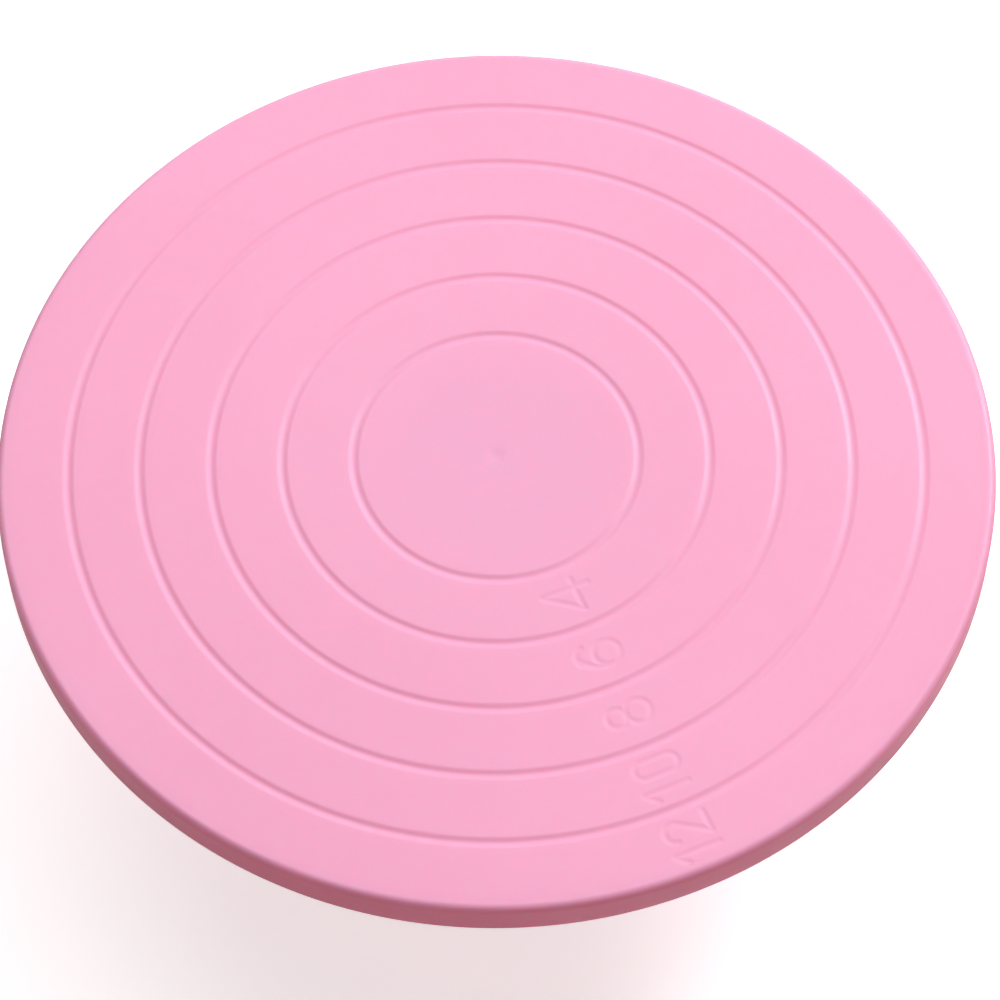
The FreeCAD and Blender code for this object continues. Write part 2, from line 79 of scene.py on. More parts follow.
# ---------------------------------------------------------------- outlines and turned meshes

def even_angles(count, offset=0.0):
    """Azimuths of an evenly divided circle."""
    return np.arange(count) * FULL_TURN / count + offset


def rounded(corners, closed=True, steps=5):
    """Points of an outline whose corners (radius, height, rounding) are eased by short arcs."""
    points = []
    total = len(corners)
    for index, (x, z, radius) in enumerate(corners):
        here = Vector((x, z))
        is_end = not closed and index in (0, total - 1)
        if radius <= 0 or is_end:
            points.append(here)
            continue
        before = Vector(corners[index - 1][:2])
        after = Vector(corners[(index + 1) % total][:2])
        back = (before - here).normalized()
        ahead = (after - here).normalized()
        opening = back.angle(ahead)
        reach = radius / math.tan(opening / 2)
        start = here + back * reach
        end = here + ahead * reach
        centre = here + (back + ahead).normalized() * radius / math.sin(opening / 2)
        for step in range(steps + 1):
            share = step / steps
            spoke = (start - centre).lerp(end - centre, share)
            swing = (start - centre).angle(end - centre)
            if swing > 1e-6:
                first = math.sin((1 - share) * swing) / math.sin(swing)
                last = math.sin(share * swing) / math.sin(swing)
                spoke = (start - centre) * first + (end - centre) * last
            points.append(centre + spoke)
    return [(point.x, point.y) for point in points]


def arc_points(centre, radius, first, last, steps):
    """Points of a plane arc, both ends included, angles in radians."""
    angles = np.linspace(first, last, steps + 1)
    return [(centre[0] + radius * math.cos(a), centre[1] + radius * math.sin(a)) for a in angles]


class Skin:
    """Vertices and faces of a surface grown ring by ring about the vertical axis."""

    def __init__(self):
        self.points = []
        self.faces = []
        self.count = 0
        self.previous = None
        self.first = None

    def add_ring(self, angles, radius, height):
        """Add one ring and join it to the last one; radius and height may vary round it."""
        angles = np.asarray(angles, float)
        radius = np.broadcast_to(np.asarray(radius, float), angles.shape)
        height = np.broadcast_to(np.asarray(height, float), angles.shape)
        ring = np.stack([radius * np.cos(angles), radius * np.sin(angles), height], 1)
        self.points.append(ring)
        placed = (angles, np.arange(self.count, self.count + len(angles)))
        self.count += len(angles)
        self.join(self.previous, placed)
        self.previous = placed
        self.first = self.first or placed

    def add_pole(self, height):
        """Add one point on the axis, which opens or closes the surface there."""
        self.points.append(np.array([[0.0, 0.0, height]]))
        placed = (np.zeros(1), np.array([self.count]))
        self.count += 1
        self.join(self.previous, placed)
        self.previous = placed
        self.first = self.first or placed

    def add(self, angles, radius, height):
        """Add a ring, or a pole where the radius is nothing."""
        if radius < ON_AXIS:
            self.add_pole(height)
        else:
            self.add_ring(angles, radius, height)

    def close(self):
        """Join the last ring back to the first one."""
        self.join(self.previous, self.first)

    def join(self, inner, outer):
        """Fill the strip between two rings, whose points need not line up."""
        if inner is None:
            return
        inner_angles, inner_ids = inner
        outer_angles, outer_ids = outer
        if len(inner_ids) == 1 or len(outer_ids) == 1:
            self.fill_fan(inner_ids, outer_ids)
            return
        if len(inner_ids) == len(outer_ids) and np.allclose(inner_angles, outer_angles):
            inner_next = np.roll(inner_ids, -1)
            outer_next = np.roll(outer_ids, -1)
            strip = np.stack([inner_ids, outer_ids, outer_next, inner_next], 1)
            self.faces.extend(strip.tolist())
            return
        self.fill_uneven(inner_angles, inner_ids, outer_angles, outer_ids)

    def fill_fan(self, inner_ids, outer_ids):
        """Triangles between a ring and a point on the axis."""
        if len(inner_ids) == 1:
            ring, pole = outer_ids, inner_ids[0]
            fan = np.stack([np.full(len(ring), pole), ring, np.roll(ring, -1)], 1)
        else:
            ring, pole = inner_ids, outer_ids[0]
            fan = np.stack([ring, np.full(len(ring), pole), np.roll(ring, -1)], 1)
        self.faces.extend(fan.tolist())

    def fill_uneven(self, inner_angles, inner_ids, outer_angles, outer_ids):
        """Triangles between rings with different azimuths, taking the nearer next point each time."""
        inner_next = np.append(inner_angles[1:], inner_angles[0] + FULL_TURN)
        outer_next = np.append(outer_angles[1:], outer_angles[0] + FULL_TURN)
        i = j = 0
        inner_total, outer_total = len(inner_ids), len(outer_ids)
        while i < inner_total or j < outer_total:
            inner_id = int(inner_ids[i % inner_total])
            outer_id = int(outer_ids[j % outer_total])
            take_inner = j >= outer_total or (i < inner_total and inner_next[i] < outer_next[j])
            if take_inner:
                i += 1
                self.faces.append([inner_id, outer_id, int(inner_ids[i % inner_total])])
            else:
                j += 1
                self.faces.append([inner_id, outer_id, int(outer_ids[j % outer_total])])

    def mesh(self, name):
        """Blender mesh of everything added so far."""
        data = bpy.data.meshes.new(name)
        data.from_pydata(np.concatenate(self.points).tolist(), [], self.faces)
        data.update()
        return data


def turned_mesh(name, outline, segments, closed=True, centre=(0.0, 0.0)):
    """Mesh turned from an outline; an open outline starts and ends on the axis."""
    skin = Skin()
    angles = even_angles(segments)
    for radius, height in outline:
        skin.add(angles, radius, height)
    if closed:
        skin.close()
    data = skin.mesh(name)
    data.transform(Matrix.Translation((centre[0], centre[1], 0.0)))
    return facing_out(data)


def plate_mesh_from_outline(name, outline, half_thickness, turn):
    """Flat web cut from an outline of (radius, height) points and turned to its azimuth."""
    count = len(outline)
    near = [(radius, -half_thickness, height) for radius, height in outline]
    far = [(radius, half_thickness, height) for radius, height in outline]
    faces = [list(range(count)), list(range(2 * count - 1, count - 1, -1))]
    for index in range(count):
        following = (index + 1) % count
        faces.append([following, index, index + count, following + count])
    data = bpy.data.meshes.new(name)
    data.from_pydata(near + far, [], faces)
    data.transform(Matrix.Rotation(turn, 4, "Z"))
    data.update()
    return facing_out(data)


def facing_out(data):
    """Turn every face of a closed mesh outwards."""
    work = bmesh.new()
    work.from_mesh(data)
    bmesh.ops.recalc_face_normals(work, faces=work.faces)
    work.to_mesh(data)
    work.free()
    return data


def add_object(name, data):
    """Object linked to the scene."""
    item = bpy.data.objects.new(name, data)
    bpy.context.scene.collection.objects.link(item)
    return item


def combined(data, tools, operation):
    """Mesh left after the tool meshes are joined to or cut from it."""
    target = add_object("work_target", data)
    helpers = [add_object("work_tool", tool) for tool in tools]
    for helper in helpers:
        modifier = target.modifiers.new("work", "BOOLEAN")
        modifier.operation = operation
        modifier.solver = "MANIFOLD"
        modifier.object = helper
    depsgraph = bpy.context.evaluated_depsgraph_get()
    result = bpy.data.meshes.new_from_object(target.evaluated_get(depsgraph))
    for item in [target, *helpers]:
        bpy.data.objects.remove(item)
    if not result.polygons:
        raise RuntimeError(f"{operation} left nothing of {data.name}")
    return result


def place_piece(name, data, node, body, material, crease=math.radians(38)):
    """Put a finished mesh in the scene in place of its CAD node."""
    data.name = name
    for polygon in data.polygons:
        polygon.use_smooth = True
    data.set_sharp_from_angle(angle=crease)
    data.materials.clear()
    data.materials.append(material)
    item = add_object(name, data)
    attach(item, body)
    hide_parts(node)
    return item


# ---------------------------------------------------------------- engraved numerals

def segment_distance(x, y, x0, y0, x1, y1):
    """Distance from points to a straight stroke."""
    dx, dy = x1 - x0, y1 - y0
    share = np.clip(((x - x0) * dx + (y - y0) * dy) / (dx * dx + dy * dy), 0.0, 1.0)
    return np.hypot(x - x0 - share * dx, y - y0 - share * dy)


def arc_distance(x, y, cx, cy, radius, first, last):
    """Distance from points to a curved stroke, anticlockwise from first to last degrees."""
    azimuth = np.degrees(np.arctan2(y - cy, x - cx))
    inside = ((azimuth - first) % 360.0) <= (last - first)
    along = np.abs(np.hypot(x - cx, y - cy) - radius)
    ends = []
    for angle in (math.radians(first), math.radians(last)):
        ends.append(np.hypot(x - cx - radius * math.cos(angle), y - cy - radius * math.sin(angle)))
    return np.where(inside, along, np.minimum(*ends))


def one_strokes(x):
    """Figure 1 with its flag, stem at x, in millimetres from the numeral's middle."""
    return [("line", x, 3.1, x, -3.3), ("line", x, 3.1, x - 1.45, 1.6)]


NUMERALS = (
    (
        ("line", 1.35, 3.4, 1.35, -3.35),
        ("line", 1.35, 3.4, -2.35, -1.35),
        ("line", -2.35, -1.35, 2.65, -1.35),
    ),
    (
        ("arc", 0.2, -1.3, 1.85, 0, 360),
        ("arc", 2.7, -0.95, 4.36, 115, 180),
        ("arc", 0.65, 1.45, 1.55, 15, 126),
    ),
    (
        ("arc", 0.35, 1.65, 1.4, 0, 360),
        ("arc", 0.35, -1.45, 1.75, 0, 360),
    ),
    (
        *one_strokes(-1.85),
        ("arc", 1.75, 1.6, 1.3, 0, 180),
        ("arc", 1.75, -2.0, 1.3, 180, 360),
        ("line", 0.45, 1.6, 0.45, -2.0),
        ("line", 3.05, 1.6, 3.05, -2.0),
    ),
    (
        *one_strokes(-1.65),
        ("arc", 1.65, 1.65, 1.4, -35, 175),
        ("line", 2.797, 0.847, 0.2, -3.1),
        ("line", 0.2, -3.1, 3.2, -3.1),
    ),
)
NUMERAL_HALF_LENGTH = 4.1 * MM
NUMERAL_HALF_HEIGHT = 4.2 * MM
NUMERAL_STEP = 0.135 * MM


def stroke_distance(strokes, x, y):
    """Distance in metres from points in a numeral's own plane to its nearest stroke."""
    x, y = x / MM, y / MM
    nearest = np.full(np.shape(x), 1e3)
    for kind, *numbers in strokes:
        measure = segment_distance if kind == "line" else arc_distance
        nearest = np.minimum(nearest, measure(x, y, *numbers))
    return nearest * MM


# ---------------------------------------------------------------- shader node helpers

def add_node(tree, kind, inputs=None, **settings):
    """Add a node; an input may be given a value or another node's output."""
    node = tree.nodes.new(kind)
    for key, value in settings.items():
        setattr(node, key, value)
    for key, value in (inputs or {}).items():
        if isinstance(value, bpy.types.NodeSocket):
            tree.links.new(value, node.inputs[key])
        else:
            node.inputs[key].default_value = value
    return node


def maths(tree, operation, first, second):
    """Output of one Math node."""
    return add_node(tree, "ShaderNodeMath", {0: first, 1: second}, operation=operation).outputs[0]


def varied(tree, mask, spread, base):
    """Base value raised by a mask's spread."""
    return maths(tree, "ADD", maths(tree, "MULTIPLY", mask, spread), base)


def blend_colour(tree, share, first, second):
    """Colour mixed from two."""
    node = add_node(tree, "ShaderNodeMix", {"Factor": share}, data_type="RGBA")
    for key, value in (("A", first), ("B", second)):
        socket = next(s for s in node.inputs if s.name == key and s.type == "RGBA")
        if isinstance(value, bpy.types.NodeSocket):
            tree.links.new(value, socket)
        else:
            socket.default_value = value
    return next(s for s in node.outputs if s.type == "RGBA")


def towards(tree, colour, group, share, tint):
    """Colour blended towards a tint by a share of a group's mask."""
    mask = maths(tree, "MULTIPLY", group.outputs["Mask"], share)
    return blend_colour(tree, mask, colour, (*tint, 1.0))


def remap(tree, value, from_low, from_high):
    """Value moved smoothly from one range to 0 to 1 and held inside it."""
    inputs = {"Value": value, "From Min": from_low, "From Max": from_high}
    node = add_node(tree, "ShaderNodeMapRange", inputs, interpolation_type="SMOOTHSTEP")
    return node.outputs["Result"]


def noise(tree, inputs, dimensions="3D"):
    """Value of one Noise Texture node."""
    return add_node(tree, "ShaderNodeTexNoise", inputs, noise_dimensions=dimensions).outputs["Fac"]


def new_group(name, inputs, outputs=("Mask",)):
    """Empty node group; returns its tree, the sockets it is given and the sockets it fills."""
    tree = bpy.data.node_groups.new(name, "ShaderNodeTree")
    for label, default in inputs.items():
        kind = "NodeSocketFloat" if isinstance(default, float) else "NodeSocketColor"
        tree.interface.new_socket(label, in_out="INPUT", socket_type=kind).default_value = default
    for label in outputs:
        kind = "NodeSocketColor" if label == "Colour" else "NodeSocketFloat"
        tree.interface.new_socket(label, in_out="OUTPUT", socket_type=kind)
    return tree, tree.nodes.new("NodeGroupInput").outputs, tree.nodes.new("NodeGroupOutput").inputs


def use_group(tree, name, **values):
    """Place a shared effect in a material with that material's own values."""
    node = tree.nodes.new("ShaderNodeGroup")
    node.node_tree = bpy.data.node_groups[name]
    for key, value in values.items():
        node.inputs[key.replace("_", " ")].default_value = value
    return node


def object_coordinates(tree):
    """Coordinates fixed to the piece, in metres."""
    return tree.nodes.new("ShaderNodeTexCoord").outputs["Object"]


# ---------------------------------------------------------------- shared surface effects

def from_axis(tree):
    """Distance from the piece's vertical axis, and height, in metres."""
    parts = add_node(tree, "ShaderNodeSeparateXYZ", {"Vector": object_coordinates(tree)}).outputs
    across = add_node(tree, "ShaderNodeCombineXYZ", {"X": parts[0], "Y": parts[1]}).outputs[0]
    length = add_node(tree, "ShaderNodeVectorMath", {0: across}, operation="LENGTH")
    return length.outputs["Value"], parts[2]


def make_tool_grain():
    """Fine satin texture that a polished mould leaves in plastic or rubber."""
    tree, given, result = new_group(
        "Tool Grain", {"Grain Size": 0.0003, "Unevenness": 0.4}, ("Height", "Mottle"),
    )
    where = object_coordinates(tree)
    fineness = maths(tree, "DIVIDE", 1.0, given["Grain Size"])
    fine = noise(tree, {"Vector": where, "Scale": fineness, "Detail": 2.0})
    coarse_scale = maths(tree, "MULTIPLY", fineness, 0.06)
    coarse = noise(tree, {"Vector": where, "Scale": coarse_scale, "Detail": 3.0})
    wave = maths(tree, "MULTIPLY", coarse, given["Unevenness"])
    tree.links.new(maths(tree, "ADD", fine, wave), result["Height"])
    tree.links.new(remap(tree, coarse, 0.3, 0.7), result["Mottle"])


def make_colour_drift():
    """Slow change of tint across a moulding, as pigment and thickness vary."""
    tints = {"Tint": (0.8, 0.8, 0.8, 1.0), "Deep Tint": (0.7, 0.7, 0.7, 1.0)}
    inputs = {**tints, "Patch Size": 0.04, "Seed": 0.0}
    tree, given, result = new_group("Colour Drift", inputs, ("Colour",))
    scale = maths(tree, "DIVIDE", 1.0, given["Patch Size"])
    inputs = {"Vector": object_coordinates(tree), "W": given["Seed"], "Scale": scale}
    patches = noise(tree, {**inputs, "Detail": 3.0, "Roughness": 0.45}, "4D")
    mask = remap(tree, patches, 0.32, 0.68)
    tree.links.new(blend_colour(tree, mask, given["Tint"], given["Deep Tint"]), result["Colour"])


def make_floor_fade():
    """Mask that falls off away from the axis, so that a floor melts into its surroundings."""
    tree, given, result = new_group("Floor Fade", {"Fade From": 0.5, "Fade To": 1.5})
    reach = add_node(tree, "ShaderNodeVectorMath", {0: object_coordinates(tree)}, operation="LENGTH")
    mask = remap(tree, reach.outputs["Value"], given["Fade To"], given["Fade From"])
    tree.links.new(mask, result["Mask"])


def make_specks():
    """Sparse pin-sized specks of regrind or dust caught in the surface."""
    tree, given, result = new_group("Specks", {"Spacing": 0.02, "Speck Size": 0.0004, "Share": 0.3})
    scale = maths(tree, "DIVIDE", 1.0, given["Spacing"])
    inputs = {"Vector": object_coordinates(tree), "Scale": scale}
    cells = add_node(tree, "ShaderNodeTexVoronoi", inputs).outputs
    reach = maths(tree, "MULTIPLY", cells["Distance"], given["Spacing"])
    spot = remap(tree, reach, given["Speck Size"], maths(tree, "MULTIPLY", given["Speck Size"], 0.5))
    pick = add_node(tree, "ShaderNodeSeparateColor", {"Color": cells["Color"]})
    chosen = maths(tree, "LESS_THAN", pick.outputs[0], given["Share"])
    tree.links.new(maths(tree, "MULTIPLY", spot, chosen), result["Mask"])


def make_gate_blush_and_sheen():
    """Cloudy swirl where the plastic entered the mould, with a painted greyish lilac sheen over it,
    fading out from the axis.
    """
    tree, given, result = new_group("Gate Blush And Sheen", {"Reach": 0.02, "Swirl": 0.5})
    length, _ = from_axis(tree)
    inputs = {"Vector": object_coordinates(tree), "Scale": 150.0, "Detail": 3.0}
    swirl = noise(tree, {**inputs, "Distortion": 1.6})
    cloud = maths(tree, "MULTIPLY", remap(tree, swirl, 0.35, 0.7), given["Swirl"])
    body = maths(tree, "SUBTRACT", 1.0, cloud)
    mask = maths(tree, "MULTIPLY", remap(tree, length, given["Reach"], 0.0), body)
    tree.links.new(mask, result["Mask"])


def make_painted_wall_shade():
    """Mask of steep walls, where the pink is darkened to a deeper red as painted shade."""
    tree, given, result = new_group("Painted Wall Shade", {"Flat From": 0.8, "Steep From": 0.1})
    facing = tree.nodes.new("ShaderNodeTexCoord").outputs["Normal"]
    parts = add_node(tree, "ShaderNodeSeparateXYZ", {"Vector": facing})
    lift = add_node(tree, "ShaderNodeMath", {0: parts.outputs[2]}, operation="ABSOLUTE").outputs[0]
    tree.links.new(remap(tree, lift, given["Flat From"], given["Steep From"]), result["Mask"])


def make_edge_wear():
    """Mask of the outer edges, where handling polishes or bares the surface."""
    tree, given, result = new_group("Edge Wear", {"Edge Width": 0.0006, "Break Up": 0.5})
    surface = tree.nodes.new("ShaderNodeNewGeometry").outputs["Normal"]
    eased = add_node(tree, "ShaderNodeBevel", {"Radius": given["Edge Width"]}, samples=4)
    normals = {0: eased.outputs["Normal"], 1: surface}
    facing = add_node(tree, "ShaderNodeVectorMath", normals, operation="DOT_PRODUCT")
    edge = remap(tree, facing.outputs["Value"], 0.995, 0.9)
    patches = noise(tree, {"Vector": object_coordinates(tree), "Scale": 700.0, "Detail": 4.0})
    gaps = maths(tree, "MULTIPLY", remap(tree, patches, 0.4, 0.65), given["Break Up"])
    tree.links.new(maths(tree, "MULTIPLY", edge, maths(tree, "SUBTRACT", 1.0, gaps)), result["Mask"])


def make_turning_lines():
    """Fine concentric lines about the spindle axis, as turning, pressing or grinding leaves."""
    tree, given, result = new_group(
        "Turning Lines", {"Line Pitch": 0.0002, "Waver": 0.15}, ("Height", "Mask"),
    )
    length, height = from_axis(tree)
    unevenness = noise(tree, {"Vector": object_coordinates(tree), "Scale": 300.0, "Detail": 2.0})
    steps = maths(tree, "DIVIDE", length, given["Line Pitch"])
    rise = maths(tree, "DIVIDE", height, given["Line Pitch"])
    shift = maths(tree, "MULTIPLY", unevenness, given["Waver"])
    along = maths(tree, "ADD", maths(tree, "ADD", steps, rise), shift)
    line = noise(tree, {"W": along, "Scale": 1.0, "Detail": 3.0}, "1D")
    tree.links.new(line, result["Height"])
    tree.links.new(remap(tree, line, 0.35, 0.65), result["Mask"])


def make_scuffs():
    """Hairline scuffs in crossing directions."""
    tree, given, result = new_group("Scuffs", {"Scuff Length": 0.01, "Amount": 0.3})
    where = object_coordinates(tree)
    scale = maths(tree, "DIVIDE", 1.0, given["Scuff Length"])
    total = 0.0
    for turn in (0.35, 1.3, 2.25):
        stretch = {"Vector": where, "Rotation": (0.0, 0.0, turn), "Scale": (1.0, 45.0, 12.0)}
        laid = add_node(tree, "ShaderNodeMapping", stretch).outputs["Vector"]
        streaks = noise(tree, {"Vector": laid, "Scale": scale, "Detail": 2.0, "Roughness": 0.6})
        total = maths(tree, "MAXIMUM", total, remap(tree, streaks, 0.66, 0.74))
    tree.links.new(maths(tree, "MULTIPLY", total, given["Amount"]), result["Mask"])


# ---------------------------------------------------------------- materials

def start_material(name):
    """Empty node material; returns it with its tree and surface shader."""
    material = bpy.data.materials.new(name)
    material.use_nodes = True
    tree = material.node_tree
    shader = next(node for node in tree.nodes if node.type == "BSDF_PRINCIPLED")
    return material, tree, shader


def drifting(tree, tint, deep_tint, patch_size, seed):
    """Tint that drifts slowly towards a deeper one."""
    group = use_group(
        tree, "Colour Drift",
        Tint=(*tint, 1.0), Deep_Tint=(*deep_tint, 1.0), Patch_Size=patch_size, Seed=seed,
    )
    return group.outputs["Colour"]


def darker(tint, share):
    """Tint with every channel scaled."""
    return tuple(channel * share for channel in tint)


def dress(tree, shader, colour, rough, height, strength, relief):
    """Feed the shader its colour, its roughness and a bump."""
    tree.links.new(colour, shader.inputs["Base Color"])
    tree.links.new(rough, shader.inputs["Roughness"])
    inputs = {"Height": height, "Strength": strength, "Distance": relief}
    bump = add_node(tree, "ShaderNodeBump", inputs)
    tree.links.new(bump.outputs["Normal"], shader.inputs["Normal"])


def glow_within(shader, weight, radius, scale):
    """Let light scatter under the surface."""
    shader.inputs["Subsurface Weight"].default_value = weight
    shader.inputs["Subsurface Radius"].default_value = radius
    shader.inputs["Subsurface Scale"].default_value = scale


def pink_plastic(name, finish, seed, blush_and_sheen_reach):
    """Satin injection-moulded polypropylene, with painted shade on its steep walls and a painted sheen
    round its axis.
    """
    material, tree, shader = start_material(name)
    blush_and_sheen = use_group(tree, "Gate Blush And Sheen", Reach=blush_and_sheen_reach, Swirl=0.45)
    specks = use_group(tree, "Specks", Spacing=0.03, Speck_Size=0.00035, Share=0.35)
    walls = use_group(tree, "Painted Wall Shade", Flat_From=0.95, Steep_From=0.1)
    wear = use_group(tree, "Edge Wear", Edge_Width=0.0005, Break_Up=0.6)
    grain = use_group(tree, "Tool Grain", Grain_Size=0.00035, Unevenness=0.12)
    scuffs = use_group(tree, "Scuffs", Scuff_Length=0.012, Amount=0.5)
    colour = drifting(tree, finish.plastic_tint, finish.plastic_deep_tint, 0.045, seed)
    for group, share, tint_to in (
        # Round the axis the pink is pulled towards a greyer lilac: a gate swirl with a painted sheen.
        (blush_and_sheen, 0.5, finish.plastic_blush_and_sheen),
        # Steep walls are pulled towards a deeper red pink: painted shade.
        (walls, 0.8, finish.plastic_wall_shade),
        (wear, 0.12, WORN_PLASTIC),
        (specks, 0.35, SPECK_TINT),
    ):
        colour = towards(tree, colour, group, share, tint_to)
    rough = varied(tree, grain.outputs["Mottle"], 0.06, finish.plastic_roughness)
    rough = varied(tree, scuffs.outputs["Mask"], 0.08, rough)
    rough = varied(tree, wear.outputs["Mask"], -0.05, rough)
    dress(tree, shader, colour, rough, grain.outputs["Height"], 0.35, 0.000006)
    glow_within(shader, 0.5, (1.0, 0.3, 0.25), 0.003)
    shader.inputs["IOR"].default_value = 1.49
    return material


def bearing_steel(name, steel, roughness, line_pitch):
    """Steel with concentric working lines and a thin film of oil stain."""
    material, tree, shader = start_material(name)
    lines = use_group(tree, "Turning Lines", Line_Pitch=line_pitch, Waver=0.2)
    wear = use_group(tree, "Edge Wear", Edge_Width=0.0003, Break_Up=0.4)
    colour = drifting(tree, steel, darker(steel, 0.78), 0.006, 3.0)
    colour = towards(tree, colour, wear, 0.4, BRIGHT_STEEL)
    rough = varied(tree, lines.outputs["Mask"], 0.1, roughness)
    dress(tree, shader, colour, rough, lines.outputs["Height"], 0.3, 0.000008)
    shader.inputs["Metallic"].default_value = 1.0
    return material


def ball_steel(name):
    """Polished bearing balls with faint handling marks."""
    material, tree, shader = start_material(name)
    scuffs = use_group(tree, "Scuffs", Scuff_Length=0.002, Amount=0.6).outputs["Mask"]
    colour = drifting(tree, (0.78, 0.79, 0.8), (0.66, 0.66, 0.66), 0.002, 7.0)
    dress(tree, shader, colour, varied(tree, scuffs, 0.15, 0.08), scuffs, 0.1, 0.000002)
    shader.inputs["Metallic"].default_value = 1.0
    return material


def natural_nylon(name):
    """Uncoloured moulded nylon, slightly yellow and waxy."""
    material, tree, shader = start_material(name)
    grain = use_group(tree, "Tool Grain", Grain_Size=0.00025, Unevenness=0.4)
    wear = use_group(tree, "Edge Wear", Edge_Width=0.0003, Break_Up=0.4)
    colour = drifting(tree, (0.78, 0.76, 0.68), (0.70, 0.66, 0.55), 0.008, 5.0)
    colour = towards(tree, colour, wear, 0.3, WORN_NYLON)
    rough = varied(tree, grain.outputs["Mottle"], 0.1, 0.42)
    dress(tree, shader, colour, rough, grain.outputs["Height"], 0.4, 0.00001)
    glow_within(shader, 0.15, (1.0, 0.8, 0.5), 0.001)
    return material


def foot_rubber(name, finish):
    """Matt moulded rubber with a dusty bloom."""
    material, tree, shader = start_material(name)
    grain = use_group(tree, "Tool Grain", Grain_Size=0.0002, Unevenness=0.7)
    specks = use_group(tree, "Specks", Spacing=0.0025, Speck_Size=0.0002, Share=0.4)
    colour = drifting(tree, finish.rubber_tint, darker(finish.rubber_tint, 0.8), 0.004, 11.0)
    colour = towards(tree, colour, specks, 0.4, DUST_TINT)
    rough = varied(tree, grain.outputs["Mottle"], 0.12, 0.72)
    dress(tree, shader, colour, rough, grain.outputs["Height"], 0.5, 0.00002)
    return material


def floor_paint(name, finish):
    """Pale matt table top that the camera sees brighter than the light it throws."""
    material, tree, shader = start_material(name)
    grain = use_group(tree, "Tool Grain", Grain_Size=0.001, Unevenness=0.3)
    colour = drifting(tree, finish.floor_tint, darker(finish.floor_tint, 0.985), 0.2, 2.0)
    rough = varied(tree, grain.outputs["Mottle"], 0.05, 0.8)
    dress(tree, shader, colour, rough, grain.outputs["Height"], 0.1, 0.00002)
    fade = use_group(tree, "Floor Fade", Fade_From=FLOOR_FADE[0], Fade_To=FLOOR_FADE[1])
    tree.links.new(fade.outputs["Mask"], shader.inputs["Alpha"])
    seen = tree.nodes.new("ShaderNodeLightPath").outputs["Is Camera Ray"]
    tree.links.new(varied(tree, seen, FLOOR_LIFT, FLOOR_GLOW), shader.inputs["Emission Strength"])
    shader.inputs["Emission Color"].default_value = (*ROOM_TINT, 1.0)
    shader.inputs["Specular IOR Level"].default_value = 0.2
    return material


# ---------------------------------------------------------------- sizes and finishes

PLATE_LOW, PLATE_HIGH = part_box("turntable_plate")
BASE_LOW, BASE_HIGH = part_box("pedestal_base")
UPPER_LOW, UPPER_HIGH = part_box("upper_race")
LOWER_LOW, LOWER_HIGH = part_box("lower_race")
CAGE_LOW, CAGE_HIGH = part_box("ball_cage")
BALL_LOW, BALL_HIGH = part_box("ball_01")
BUSH_LOW, BUSH_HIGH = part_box("spindle_bush")
KEEPER_LOW, KEEPER_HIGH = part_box("retaining_washer")
SPRING_LOW, SPRING_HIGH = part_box("lock_washer")
SCREW_LOW, SCREW_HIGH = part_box("spindle_screw")
BALL_LEVEL = (BALL_LOW.z + BALL_HIGH.z) / 2
RACE_SEAT_BORE = 16.0 * MM
SLEEVE_BORE = 8.0 * MM


def number(name, description, default, unit="NONE"):
    """Plain number property."""
    return FloatProperty(name=name, description=description, default=default, unit=unit)


def length(name, description, millimetres):
    """Length property, held in metres."""
    return FloatProperty(
        name=name, description=description, default=millimetres * MM, unit="LENGTH", precision=5,
    )


def angle(name, description, degrees):
    """Angle property, held in radians."""
    return number(name, description, math.radians(degrees), "ROTATION")


def tint(name, description, default):
    """Colour property."""
    return FloatVectorProperty(
        name=name, description=description, default=default, subtype="COLOR", min=0.0, max=1.0,
    )


class PlateSizes(bpy.types.PropertyGroup):
    """Sizes of the turntable plate."""

    skin: length("Skin", "Thickness of the flat disc", 2.4)
    rim_height: length("Rim height", "Height of the turned-down edge", 5.8)
    rim_wall: length("Rim wall", "Thickness of the turned-down edge", 2.0)
    rim_round: length("Rim rounding", "Rounding of the top edge", 1.1)
    first_ring: length("First ring", "Radius of the smallest marked ring", 20.0)
    ring_step: length("Ring step", "Distance between marked rings", 10.0)
    ring_half_width: length("Ring half width", "Half the width of a ring groove", 0.92)
    ring_depth: length("Ring depth", "Depth of a ring groove", 0.22)
    numeral_half_width: length("Numeral half width", "Half the width of a numeral's stroke", 0.36)
    numeral_ease: length("Numeral easing", "Width of the rounded shoulder of a stroke", 0.7)
    numeral_depth: length("Numeral depth", "Depth of the numerals", 0.085)
    numeral_azimuth: angle("Numeral azimuth", "Direction of the row of numerals", -67.0)
    collar_inner: length("Collar radius", "Inner radius of the dust collar", 27.6)
    collar_wall: length("Collar wall", "Thickness of the dust collar", 1.8)
    collar_drop: length("Collar drop", "Depth of the collar below the top", 8.6)
    hub_radius: length("Hub radius", "Radius of the hub under the plate", 9.5)
    hub_level: length("Hub level", "Height of the hub's face", 44.2)
    spindle_radius: length("Spindle radius", "Radius of the spindle boss", 6.0)
    rib_thickness: length("Rib thickness", "Thickness of the ribs under the plate", 1.2)
    rib_height: length("Rib height", "Height of the ribs under the plate", 2.0)
    rib_count: IntProperty(name="Ribs", description="Radial ribs under the plate", default=12)


